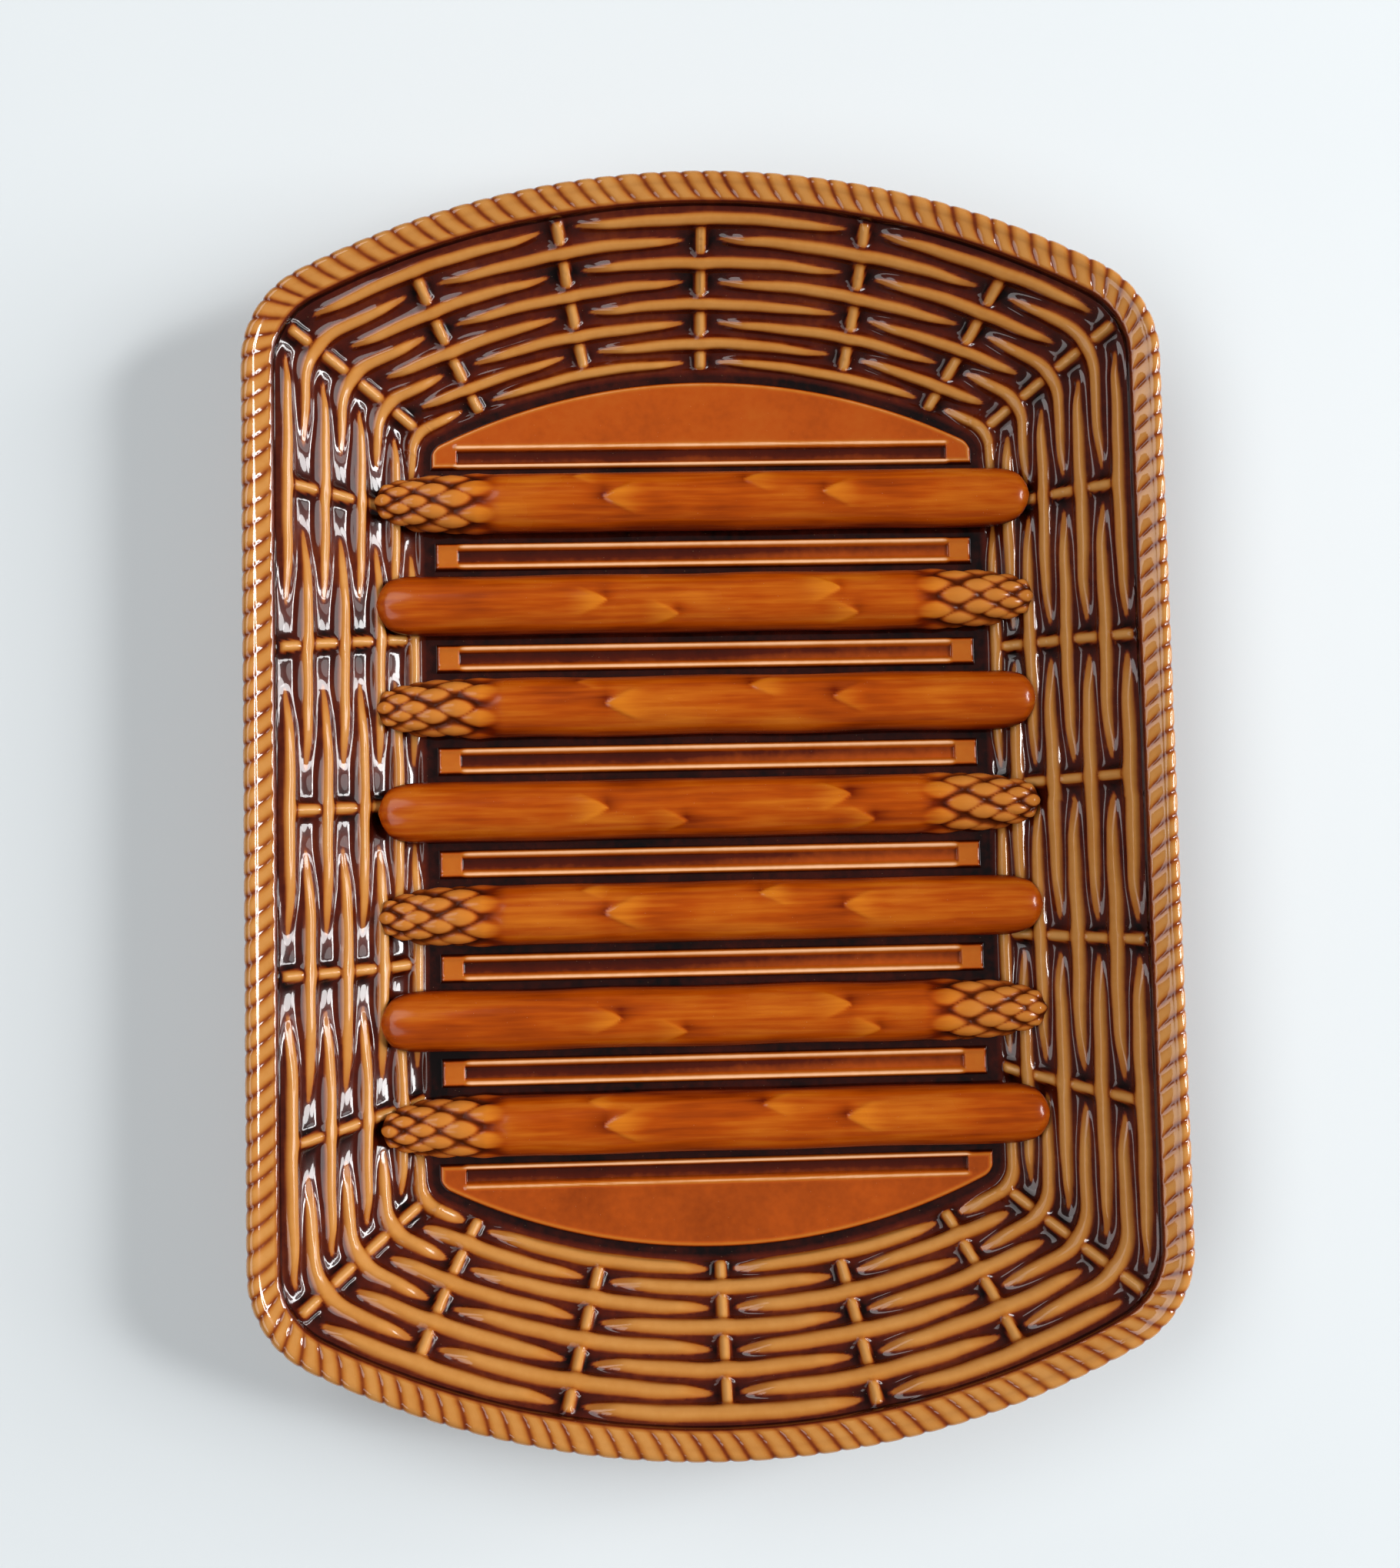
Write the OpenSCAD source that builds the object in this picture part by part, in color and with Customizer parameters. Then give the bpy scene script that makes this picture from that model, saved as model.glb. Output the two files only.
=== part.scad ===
// Asparagus plate: a moulded earthenware platter. Its sloping wall is worked as wicker, its rim as
// a twisted rope, and seven asparagus spears lie across the well with channelled bars between them.
// X runs along the spears, Y from the foot end to the head end, and Z up from the table.
// The origin is on the table, under the middle of the plate.

/* [Plate] */
// Length over the rope rim, from head to foot
plate_length = 380; // [360:1:420]
// Width over the rope rim
plate_width = 275; // [268:1:300]
// Height from the table to the top of the rope
plate_height = 42; // [37:0.5:50]
// Radius of the curved head and foot ends of the rim
end_radius = 262; // [250:1:320]
// Outer corner radius of the rim
corner_radius = 32; // [24:0.5:38]
// Thickness of the fired clay under the well and in the wall
clay_thickness = 5; // [4:0.25:6.5]
// Thickness of the lip that carries the rope
lip_thickness = 4.5; // [3.5:0.25:5.5]
// How far the lip stops short of the rope's outer edge
lip_setback = 0.8; // [0.5:0.1:1.5]

/* [Well and wall] */
// Level run of the wall along the two long sides
side_run = 39.5; // [37:0.5:42]
// Level run of the wall at the head and foot
end_run = 42.8; // [40:0.2:46]
// Radius of the curved ends of the well
well_end_radius = 190; // [175:1:215]
// Corner radius of the well
well_corner_radius = 9; // [7:0.5:14]
// Hollowness of the wall's section, where 1 is straight
wall_hollow = 1.25; // [1:0.05:1.5]
// Height of the foot ring
foot_height = 3.5; // [2.5:0.25:5]
// Width of the foot ring's tread
foot_width = 6; // [4:0.5:9]
// Distance of the foot ring inside the edge of the well
foot_inset = 2; // [1:0.5:5]
// Outer corner radius of the foot ring
foot_corner_radius = 14; // [10:0.5:20]

/* [Rope rim] */
// Width of the rope, seen from above
rope_width = 10; // [8.5:0.25:11]
// Height of the rope above the lip
rope_height = 5.5; // [4.5:0.25:7]
// Number of twists round the rim
rope_twists = 168; // [144:8:184]
// Depth of the groove between two twists
twist_depth = 0.9; // [0.5:0.1:1.2]
// Sideways lean of a twist for each unit across the rope
twist_lean = 0.6; // [0.3:0.05:0.8]

/* [Wicker] */
// Width of a strand where it crosses over a stake
strand_width = 4.6; // [3.8:0.1:5.2]
// Height of a strand where it crosses over a stake
strand_height = 2.4; // [1.6:0.1:3]
// Width of a strand's tapered end
strand_end_width = 1.4; // [1:0.1:2]
// Height of a strand's tapered end
strand_end_height = 0.8; // [0.5:0.1:1.2]
// Gap from a strand's tapered end to the middle of the stake that it dips behind
strand_end_gap = 3.2; // [2.4:0.1:4]
// Width of a stake
stake_width = 3.1; // [2.4:0.1:3.6]
// Height of a stake above the wall
stake_height = 1.7; // [1.2:0.1:2.2]

/* [Spears] */
// Number of spears, an odd number so that one lies across the middle
spear_count = 7; // [5:2:9]
// How far each end of a spear reaches up the wall, beyond the edge of the well
spear_overhang = 13.2; // [8:0.2:14]
// Height of a spear above the well
spear_height = 12.5; // [11:0.25:14]
// Length of the scaly head of a spear
scale_reach = 34; // [28:1:38]
// Length over which the head narrows to its point
tip_taper = 22; // [18:0.5:26]
// Width of the blunt point of the head
tip_width = 5; // [3.5:0.25:7]
// Height of a spear's two ends above the wall
nose_height = 3.2; // [2.6:0.1:4]
// Length over which the cut end rounds off
butt_round = 9; // [7:0.5:12]
// Width of the flat left at the cut end
butt_width = 8; // [6:0.5:11]
// Relief of one scale
scale_relief = 1.1; // [0.6:0.1:1.5]

/* [Drain bars and end panels] */
// Width of a bar between two spears
bar_width = 8.8; // [7.5:0.1:10]
// Gap between the end of a bar and the wall
bar_end_gap = 4.4; // [2:0.2:8]
// Height of the bars and panels above the well
bar_height = 2.2; // [1.6:0.1:3]
// Gap between a spear and the bar or panel beside it
drain_gap = 2.2; // [1.8:0.1:3]
// Width of each ridge that borders a channel
ridge_width = 2.2; // [1.8:0.1:2.6]
// Length of the solid pad at each end of a channel
pad_length = 7; // [5:0.5:10]
// Depth of clay left under a channel
channel_floor = 0.5; // [0.3:0.1:0.9]
// Depth of an end panel, from its straight edge to the middle of its curved edge
panel_depth = 27.2; // [24:0.2:30]
// Width of the moat between an end panel and the wall
moat_width = 3.4; // [2.5:0.1:5]

/* [Hidden] */
// Clearance between a moulded detail and the sloping clay that carries it
seat_gap = 0.15;
// Clearance between two details that meet on the wall
joint_gap = 0.4;
// How far a cutting shape reaches past what it cuts
overrun = 1;
// Step used to find a direction on the wall
small_step = 0.01;

row_count = 8;
wall_rings = row_count / 2;

floor_z = foot_height + clay_thickness;
lip_z = plate_height - rope_height;
wall_rise = lip_z - floor_z;

// An outline is half width, half length, end radius and corner radius.
rim_outline = [plate_width / 2, plate_length / 2, end_radius, corner_radius];
wall_top = inset_outline(rim_outline, rope_width);
well_outline = [wall_top[0] - side_run, wall_top[1] - end_run, well_end_radius, well_corner_radius];

// Places round a quarter of the plate, as shares: 0 to 1 goes up the side from its middle, 1 to 2
// round the corner, and 2 to 3 along the end to its middle. The wall's net of points uses them.
net_shares = [0, 0.13, 0.26, 0.39, 0.507, 0.623, 0.74, 0.87, 1, 1.25, 1.5, 1.75, 2, 2.14, 2.28,
    2.39, 2.5, 2.61, 2.74, 2.87, 3];
quarter_steps = len(net_shares) - 1;
corner_step = quarter_steps / 2;
net_steps = 4 * quarter_steps;

// Places of the stakes at the rim and at the well, in the same shares, counted on round the
// plate from the middle of the right-hand side. They were laid by eye, so no two sides match.
stake_rim_shares = [0.05, 0.365, 0.715, 1.475, 2.205, 2.585, 3, 3.365, 3.745, 4.475, 5.26, 5.635,
    6, 6.365, 6.74, 7.6, 8.23, 8.61, 9, 9.365, 9.745, 10.4, 11.31, 11.675];
stake_well_shares = [0.05, 0.44, 0.84, 1.575, 2.155, 2.485, 3, 3.415, 3.82, 4.275, 5.16, 5.51,
    5.975, 6.415, 6.79, 7.525, 8.13, 8.585, 9, 9.415, 9.82, 10.325, 11.26, 11.635];
stake_count = len(stake_rim_shares);

// The spears and the bars between them share what the two end panels leave of the well.
well_half = well_outline[0];
panel_edge = well_outline[1] - moat_width - panel_depth;
spear_pitch = (2 * panel_edge + bar_width) / spear_count;
spear_width = spear_pitch - bar_width - 2 * drain_gap;

// The stakes between two corners make one group. Each side's group follows the corner before it.
stake_groups = ["stakes_head", "stakes_left", "stakes_foot", "stakes_right"];
side_stakes = stake_count / 4;
corner_stakes = [for (side = [0:3]) side_stakes * (side + 1 / 2)];
function stakes_between(side) =
    [for (k = [1:side_stakes - 1]) (corner_stakes[side] + k) % stake_count];

// Outlines

function inset_outline(o, by) = [for (value = o) value - by];

// Height up the side at which the corner begins
function corner_start(o) =
    o[1] - o[2] + sqrt(pow(o[2] - o[3], 2) - pow(o[0] - o[3], 2));

// Half the angle that the curved end spans
function end_angle(o) = asin((o[0] - o[3]) / (o[2] - o[3]));

function quarter_point(o, share) =
    share <= 1 ? [o[0], share * corner_start(o)]
    : share <= 2 ?
        let (turn = (share - 1) * (90 - end_angle(o)))
        [o[0] - o[3] + o[3] * cos(turn), corner_start(o) + o[3] * sin(turn)]
    : let (swing = (3 - share) * end_angle(o))
        [o[2] * sin(swing), o[1] - o[2] + o[2] * cos(swing)];

// The whole outline runs anticlockwise over places 0 to 12, three to a quarter.
function outline_point(o, place) =
    let (
        lap = place - 12 * floor(place / 12),
        quarter = floor(lap / 3),
        share = quarter % 2 == 0 ? lap - 3 * quarter : 3 * (quarter + 1) - lap,
        point = quarter_point(o, share)
    )
    [point[0] * (quarter == 1 || quarter == 2 ? -1 : 1), point[1] * (quarter >= 2 ? -1 : 1)];

function outline_points(o) = [for (step = [0:net_steps - 1]) outline_point(o, net_place(step))];

function net_place(step) =
    let (
        quarter = floor(step / quarter_steps),
        along = step - quarter * quarter_steps
    )
    quarter % 2 == 0
        ? 3 * quarter + net_shares[along]
        : 3 * (quarter + 1) - net_shares[quarter_steps - along];

// The places of the net that lie between two others
function net_between(from, to) =
    [for (step = [quarter_steps * floor(from / 3):quarter_steps * ceil(to / 3)])
        let (place = net_place(step))
        if (place > from + small_step && place < to - small_step) place];

// The place of a stake at a depth of the wall. Stakes before the first and after the last are
// those of the lap before and the lap after.
function stake_place(stake, depth) =
    let (
        lap = floor(stake / stake_count),
        k = stake - lap * stake_count
    )
    12 * lap + (1 - depth) * stake_rim_shares[k] + depth * stake_well_shares[k];

// Lengths along an outline, for the rope

function arc_length(radius, angle) = radius * angle * PI / 180;

function quarter_length(o) =
    corner_start(o) + arc_length(o[3], 90 - end_angle(o)) + arc_length(o[2], end_angle(o));

function share_at(o, distance) =
    let (
        side = corner_start(o),
        corner = arc_length(o[3], 90 - end_angle(o)),
        end = arc_length(o[2], end_angle(o))
    )
    distance < side ? distance / side
    : distance < side + corner ? 1 + (distance - side) / corner
    : 2 + (distance - side - corner) / end;

function place_at(o, distance) =
    let (
        quarter = floor(distance / quarter_length(o)),
        along = distance - quarter * quarter_length(o)
    )
    quarter % 2 == 0
        ? 3 * quarter + share_at(o, along)
        : 3 * (quarter + 1) - share_at(o, quarter_length(o) - along);

// The wall's inner face, from the lip at depth 0 to the edge of the well at depth 1

function unit(v) = v / norm(v);

// The wall is straight between its rings, whose bends lie between two rows of the wicker.
function wall_height(depth) =
    let (
        ring = min(floor(max(depth, 0) * wall_rings), wall_rings - 1),
        share = depth * wall_rings - ring
    )
    (1 - share) * ring_height(ring) + share * ring_height(ring + 1);

function ring_height(ring) = floor_z + wall_rise * pow(1 - ring / wall_rings, wall_hollow);

function wall_point(place, depth) =
    let (flat = (1 - depth) * outline_point(wall_top, place) + depth * outline_point(well_outline, place))
    [flat[0], flat[1], wall_height(depth)];

function wall_down(place, depth) =
    unit(wall_point(place, min(depth + small_step, 1)) - wall_point(place, max(depth - small_step, 0)));

function wall_along(place, depth) =
    unit(wall_point(place + small_step, depth) - wall_point(place - small_step, depth));

function wall_normal(place, depth) =
    unit(cross(wall_along(place, depth), wall_down(place, depth)));

// A point of the wall, moved down the slope and lifted off it
function on_wall(place, depth, down, up) =
    wall_point(place, depth) + down * wall_down(place, depth) + up * wall_normal(place, depth);

// Length down the slope of the wall, at a place
function slope_length(place) =
    norm(wall_point(place, 1) - wall_point(place, 0));

function row_depth(row) = (row - 0.5) / row_count;

// Meshes from rings of points

function ring_faces(rings, size, closed = false) = [
    for (ring = [0:rings - (closed ? 1 : 2)], k = [0:size - 1])
        let (
            here = ring * size,
            next = ((ring + 1) % rings) * size,
            after = (k + 1) % size
        )
        each [[here + k, next + after, here + after], [here + k, next + k, next + after]]
];

// A closed solid through rings that each have the same number of points. The two end faces are
// drawn from the point at cap_start, which is chosen off any straight run of the ring.
module lofted(rings, cap_start = 0) {
    size = len(rings[0]);
    last = (len(rings) - 1) * size;
    polyhedron(
        points = [for (ring = rings) each ring],
        faces = concat(
            ring_faces(len(rings), size),
            [[for (k = [0:size - 1]) (cap_start + k) % size]],
            [[for (k = [size:-1:1]) last + (cap_start + k) % size]]
        ),
        convexity = 8
    );
}

// A closed ring, such as the rope, through sections that each have the same number of points
module looped(sections) {
    polyhedron(
        points = [for (section = sections) each section],
        faces = ring_faces(len(sections), len(sections[0]), closed = true),
        convexity = 8
    );
}

// Dish body: the well, the sloping wall and the lip, as one shell of even thickness

function level_ring(o, z) = [for (point = outline_points(o)) [point[0], point[1], z]];

function inner_ring(depth) =
    [for (step = [0:net_steps - 1]) wall_point(net_place(step), depth)];

function outer_ring(depth) =
    [for (step = [0:net_steps - 1]) on_wall(net_place(step), depth, 0, -clay_thickness)];

module dish_body() {
    lip = inset_outline(rim_outline, lip_setback);
    color("saddlebrown")
    lofted(concat(
        [for (ring = [wall_rings:-1:0]) inner_ring(ring / wall_rings)],
        [level_ring(lip, lip_z), level_ring(lip, lip_z - lip_thickness)],
        [for (ring = [0:wall_rings - 1]) outer_ring(ring / wall_rings)],
        [level_ring(inset_outline(well_outline, -clay_thickness / 2), foot_height)]
    ), cap_start = corner_step);
}

module foot_ring() {
    tread = [well_outline[0] - foot_inset, well_outline[1] - foot_inset, well_end_radius, foot_corner_radius];
    color("wheat")
    linear_extrude(height = foot_height)
    difference() {
        polygon(outline_points(tread));
        polygon(outline_points(inset_outline(tread, foot_width)));
    }
}

// Rope rim: a half-round rope whose grooves lean across it

rope_angles = [180, 135, 90, 45, 0];

// One point of the rope: how far in from the outer edge, and how high over the lip
function rope_offset(angle, groove) = [
    rope_width / 2 + (rope_width / 2 - groove) * cos(angle),
    (rope_height - groove) * sin(angle)
];

function rope_point(distance, angle, groove) =
    let (
        offset = rope_offset(angle, groove),
        place = place_at(rim_outline, distance - twist_lean * (offset[0] - rope_width / 2)),
        flat = outline_point(inset_outline(rim_outline, offset[0]), place)
    )
    [flat[0], flat[1], lip_z + offset[1]];

module rope_rim() {
    sections = 2 * rope_twists;
    stride = 4 * quarter_length(rim_outline) / sections;
    color("peru")
    looped([
        for (section = [0:sections - 1])
            [for (angle = rope_angles)
                rope_point(section * stride, angle, section % 2 == 0 ? 0 : twist_depth)]
    ]);
}

// Wicker: each row is a ring of strands that pass over every other stake and dip behind the rest

// Half width of a strand's flat crest, as a share of the strand's half width
strand_shoulder_share = 0.55;
// How quickly a strand tapers away from the stake that it crosses
strand_fullness = 2.2;

// How far along a row one unit of place reaches
function place_length(place, depth) =
    norm(wall_point(place + small_step, depth) - wall_point(place, depth)) / small_step;

// The side of the plate that a place lies nearest to: 0 on the right, 6 on the left
function side_middle(place) = 6 * round(place / 6);

// How close to the middle of the plate a row's strands come on the long sides
function strand_inner_x(depth) =
    min([for (point = strand_section(0, depth, 1)) point[0]]);

// The stretches of a row that spears' ends lie on, as first and last places, in rising order
function blocked(depth, middle) =
    let (
        inner_x = strand_inner_x(depth),
        side_y = wall_point(1, depth)[1],
        right = side_middle(middle) % 12 == 0,
        from_end = spear_reach - inner_x
    )
    from_end < -joint_gap ? []
    : [for (k = [1:spear_count])
        let (
            spear = right ? spear_count + 1 - k : k,
            tip_here = (spear % 2 == 0) == right,
            half = tip_here
                ? spear_half_width(from_end, tip_taper, tip_width)
                : spear_half_width(from_end, butt_round, butt_width),
            centre = side_middle(middle) + (right ? 1 : -1) * spear_y(spear) / side_y,
            reach = (half + joint_gap) / side_y
        )
        [centre - reach, centre + reach]];

// The stretches of a strand that are left between the blocked ones
function open_stretches(first, last, blocks) =
    let (
        starts = concat([first], [for (block = blocks) max(first, block[1])]),
        ends = concat([for (block = blocks) min(last, block[0])], [last])
    )
    [for (k = [0:len(starts) - 1]) if (ends[k] - starts[k] > small_step) [starts[k], ends[k]]];

// The places along one stretch of a strand: its two ends, the net between and its widest place
function stretch_places(stretch, middle) =
    middle <= stretch[0] + small_step || middle >= stretch[1] - small_step
        ? concat([stretch[0]], net_between(stretch[0], stretch[1]), [stretch[1]])
        : concat([stretch[0]], net_between(stretch[0], middle), [middle],
            net_between(middle, stretch[1]), [stretch[1]]);

// One section of a strand, where swell is 1 over the stake and 0 at a tapered end
function strand_section(place, depth, swell) =
    let (
        half = (strand_end_width + (strand_width - strand_end_width) * swell) / 2,
        high = strand_end_height + (strand_height - strand_end_height) * swell
    )
    [
        on_wall(place, depth, -half, seat_gap),
        on_wall(place, depth, -half * strand_shoulder_share, seat_gap + high),
        on_wall(place, depth, half * strand_shoulder_share, seat_gap + high),
        on_wall(place, depth, half, seat_gap)
    ];

// The strand that crosses over a stake, in one piece, or in several where spears lie across it
module strand(stake, depth) {
    middle = stake_place(stake, depth);
    before = stake_place(stake - 1, depth);
    after = stake_place(stake + 1, depth);
    first = before + strand_end_gap / place_length(before, depth);
    last = after - strand_end_gap / place_length(after, depth);
    reach_back = norm(wall_point(first, depth) - wall_point(middle, depth));
    reach_on = norm(wall_point(last, depth) - wall_point(middle, depth));
    for (stretch = open_stretches(first, last, blocked(depth, middle)))
        lofted([
            for (place = stretch_places(stretch, middle))
                let (
                    away = norm(wall_point(place, depth) - wall_point(middle, depth)),
                    share = min(1, away / (place < middle ? reach_back : reach_on))
                )
                strand_section(place, depth, 1 - pow(share, strand_fullness))
        ]);
}

module wicker_row(row) {
    color("burlywood")
    for (stake = [row % 2 == 1 ? 0 : 1:2:stake_count - 1])
        strand(stake, row_depth(row));
}

// Stakes: what shows of each one between the strands that cross it

// How far a bit's rounded end reaches, and how thick it starts, as shares of the stake's width
stake_nose_share = 0.3;
stake_tip_share = 0.33;

// A half-round bar lying on X, cut flat underneath, with its length about the origin
module stake_bar(length) {
    nose = stake_width * stake_nose_share;
    difference() {
        rotate([0, 90, 0])
        rotate_extrude($fn = 24)
        polygon([
            [0, -length / 2],
            [stake_width * stake_tip_share, -length / 2],
            [stake_width / 2, nose - length / 2],
            [stake_width / 2, length / 2 - nose],
            [stake_width * stake_tip_share, length / 2],
            [0, length / 2]
        ]);
        translate([-length / 2 - overrun, -stake_width, stake_width / 2 - stake_height - stake_width])
        cube([length + 2 * overrun, 2 * stake_width, stake_width]);
    }
}

// Length of a stake down the wall
function stake_length(stake) =
    norm(wall_point(stake_place(stake, 1), 1) - wall_point(stake_place(stake, 0), 0));

// The way that a stake runs down the wall, at a depth
function stake_down(stake, depth) = unit(
    wall_point(stake_place(stake, depth + small_step), depth + small_step)
    - wall_point(stake_place(stake, depth - small_step), depth - small_step)
);

// The bit of a stake that shows where a row of strands dips behind it
module stake_bit(stake, row) {
    run = stake_length(stake);
    pitch = run / row_count;
    from = max(joint_gap, (row - 1.5) * pitch + strand_width / 2 + joint_gap);
    to = min(run - joint_gap, (row + 0.5) * pitch - strand_width / 2 - joint_gap);
    depth = (from + to) / 2 / run;
    place = stake_place(stake, depth);
    foot = on_wall(place, depth, 0, seat_gap + stake_height - stake_width / 2);
    down = stake_down(stake, depth);
    turn = atan2(down[1], down[0]);
    across = [-sin(turn), cos(turn), 0];
    normal = wall_normal(place, depth);
    roll = atan2(-normal * across, normal * cross(down, across));
    if (clear_of_spears(foot))
        translate(foot)
        rotate([roll, asin(-down[2]), turn])
        stake_bar(to - from);
}

// Odd rows pass over the even stakes, so an odd row's gaps show the odd stakes.
module stakes(numbers) {
    color("tan")
    for (stake = numbers, row = [1:row_count])
        if ((stake + row) % 2 == 0) stake_bit(stake, row);
}

// Spears

function spear_y(spear) = ((spear_count + 1) / 2 - spear) * spear_pitch;

spear_reach = well_half + spear_overhang;
spear_top = floor_z + spear_height;

// Height of the clay under a spear, at a distance from the middle of the plate
function bed_height(x) =
    x <= well_half ? floor_z : wall_height(1 - (x - well_half) / side_run) + seat_gap;

// How full a spear is, from 0 at its very end to 1 where the end's rounding stops
function fullness(from_end, length) =
    let (share = min(max(from_end / length, 0), 1))
    sqrt(1 - pow(1 - share, 2));

function spear_half_width(from_end, length, end_width) =
    (end_width + (spear_width - end_width) * fullness(from_end, length)) / 2;

function spear_crown(x, from_end, length) =
    let (end_crown = bed_height(spear_reach) + nose_height)
    end_crown + (spear_top - end_crown) * fullness(from_end, length);

// Half width of a spear at a place along X, with its tip towards +X
function tip_half_width(x) = spear_half_width(spear_reach - x, tip_taper, tip_width);
function butt_half_width(x) = spear_half_width(x + spear_reach, butt_round, butt_width);

// Upright part of a spear's side, as a share of its height
spear_side_share = 0.3;
// Bare stretch behind the scales, as a share of the spear's width
neck_share = 0.25;
arch_steps = 8;
scale_rings = 8;
// Each ring of scales is a little shorter than the one behind it.
scale_crowding = 0.9;
// Most that a hollow between scales may take, as a share of the spear's half width there
sunk_share = 0.3;

function spear_section(x, half, crown, scaly, ring) =
    let (
        bed = bed_height(abs(x)),
        spring = bed + (crown - bed) * spear_side_share
    )
    concat(
        [[x, half, bed]],
        [for (k = [0:arch_steps])
            let (
                angle = 180 * k / arch_steps,
                sunk = scaly && (ring + k) % 2 == 1 ? min(scale_relief, half * sunk_share) : 0
            )
            [x, (half - sunk) * cos(angle), spring + (crown - sunk - spring) * sin(angle)]
        ],
        [[x, -half, bed]]
    );

// Distances from the tip of the rings that carry the scales, closer together at the point
function scale_ring_x(ring) = spear_reach - scale_reach * pow(ring / scale_rings, scale_crowding);

// The stalk's own sections, as shares of the length from the head to the cut end's rounding
stalk_shares = [0, 0.5, 1];
// Sections of the cut end, as shares of its rounding from the face inwards
butt_shares = [0.6, 0.25, 0.06, 0];

module spear(number) {
    stalk_from = spear_reach - scale_reach - spear_width * neck_share;
    stalk_to = -well_half;
    pointing = number % 2 == 1 ? 1 : 0;
    color("chocolate")
    translate([0, spear_y(number), 0])
    mirror([pointing, 0, 0])
    lofted(concat(
        [for (ring = [0:scale_rings])
            let (x = scale_ring_x(ring))
            spear_section(x, tip_half_width(x), spear_crown(x, spear_reach - x, tip_taper), true, ring)],
        [for (share = stalk_shares)
            let (x = stalk_from + (stalk_to - stalk_from) * share)
            spear_section(x, spear_width / 2, spear_top, false, 0)],
        [for (share = butt_shares)
            let (x = -spear_reach + butt_round * share)
            spear_section(x, butt_half_width(x), spear_crown(x, x + spear_reach, butt_round), false, 0)]
    ));
}

function clear_of_spears(point) =
    abs(point[0]) > spear_reach + stake_width + joint_gap
    || min([for (number = [1:spear_count]) abs(point[1] - spear_y(number))])
        > (spear_width + stake_width) / 2 + joint_gap;

// Drain bars: a ridged frame round a sunk channel, between each pair of spears

bar_length = 2 * (well_half - bar_end_gap);

// The section of one ridge: a post with a round top
module ridge_section() {
    post = bar_height - ridge_width / 2;
    translate([-ridge_width / 2, 0]) square([ridge_width, post]);
    translate([0, post]) circle(d = ridge_width, $fn = 24);
}

module ridge(length) {
    rotate([90, 0, 90])
    linear_extrude(height = length, center = true)
    intersection() {
        ridge_section();
        translate([-ridge_width / 2, 0]) square([ridge_width, bar_height]);
    }
}

// How far the pads stay below the ridges, as a share of a ridge's width
pad_drop_share = 0.25;

module drain_bar(number) {
    pad_height = bar_height - ridge_width * pad_drop_share;
    color("sienna")
    translate([0, spear_y(number) - spear_pitch / 2, floor_z]) {
        for (side = [-1, 1])
            translate([0, side * (bar_width - ridge_width) / 2, 0])
            ridge(bar_length);
        translate([-bar_length / 2, ridge_width / 2 - bar_width / 2, 0])
        cube([bar_length, bar_width - ridge_width, channel_floor]);
        for (side = [-1, 1])
            translate([side * (bar_length - pad_length) / 2, 0, pad_height / 2])
            cube([pad_length, bar_width - ridge_width, pad_height], center = true);
    }
}

// End panels: the raised half-moons at the head and foot of the well, with one channel each

module end_panel() {
    channel_width = bar_width - 2 * ridge_width;
    color("sienna")
    translate([0, 0, floor_z])
    difference() {
        linear_extrude(height = bar_height)
        intersection() {
            polygon(outline_points(inset_outline(well_outline, moat_width)));
            translate([-plate_width / 2, panel_edge]) square([plate_width, plate_length / 2]);
        }
        translate([pad_length - bar_length / 2, panel_edge + ridge_width / 2, channel_floor])
        cube([bar_length - 2 * pad_length, channel_width, bar_height]);
    }
}

dish_body();
foot_ring();
rope_rim();
for (row = [1:row_count])
    wicker_row(row);
for (side = [0:3])
    stakes(stakes_between(side));
stakes(corner_stakes);  // stakes_corners
for (spear = [1:spear_count])
    spear(spear);
for (bar = [1:spear_count - 1])
    drain_bar(bar);
end_panel();  // head_panel
mirror([0, 1, 0]) end_panel();  // foot_panel
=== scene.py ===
"""Asparagus plate: the looks of a glazed earthenware plate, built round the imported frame.

The wall is worked as wicker, the rim as a twisted rope, and seven asparagus spears lie across
the well with channelled drain bars between them. Sizes are in millimetres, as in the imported
model, and become metres where a mesh is made.
"""

from __future__ import annotations

import logging
import math
from dataclasses import dataclass, field
from enum import Enum
from itertools import chain
from typing import Callable, Iterator, Mapping, Sequence, Union

import bpy
import numpy as np
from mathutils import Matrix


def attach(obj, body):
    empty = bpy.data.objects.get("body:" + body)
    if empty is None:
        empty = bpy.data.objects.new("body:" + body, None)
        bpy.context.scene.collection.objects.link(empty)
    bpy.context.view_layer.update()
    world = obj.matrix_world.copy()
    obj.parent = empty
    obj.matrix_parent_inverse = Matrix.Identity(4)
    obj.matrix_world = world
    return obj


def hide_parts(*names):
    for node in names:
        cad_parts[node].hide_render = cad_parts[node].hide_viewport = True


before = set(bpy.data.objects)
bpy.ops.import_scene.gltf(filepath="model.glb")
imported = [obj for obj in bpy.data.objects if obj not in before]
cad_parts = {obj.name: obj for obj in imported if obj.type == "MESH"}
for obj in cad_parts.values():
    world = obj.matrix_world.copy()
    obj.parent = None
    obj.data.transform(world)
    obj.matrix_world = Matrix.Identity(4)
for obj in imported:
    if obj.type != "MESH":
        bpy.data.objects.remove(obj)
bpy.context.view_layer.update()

LOG = logging.getLogger("plate")
Array = np.ndarray
Vector = tuple[float, float, float]
Colour = tuple[float, float, float, float]
Stops = tuple[tuple[float, Colour], ...]
Span = tuple[float, float]
Settings = Mapping[str, object]
Inputs = Mapping[Union[str, int], object]

MM = 0.001
ROOT = "root"

# Places round the plate: a whole lap, its half and quarter, and the middles of the long sides
LAP = 12.0
HALF_LAP = 6.0
QUARTER = 3.0
RIGHT_SIDE = 0.0
LEFT_SIDE = 6.0

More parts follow.
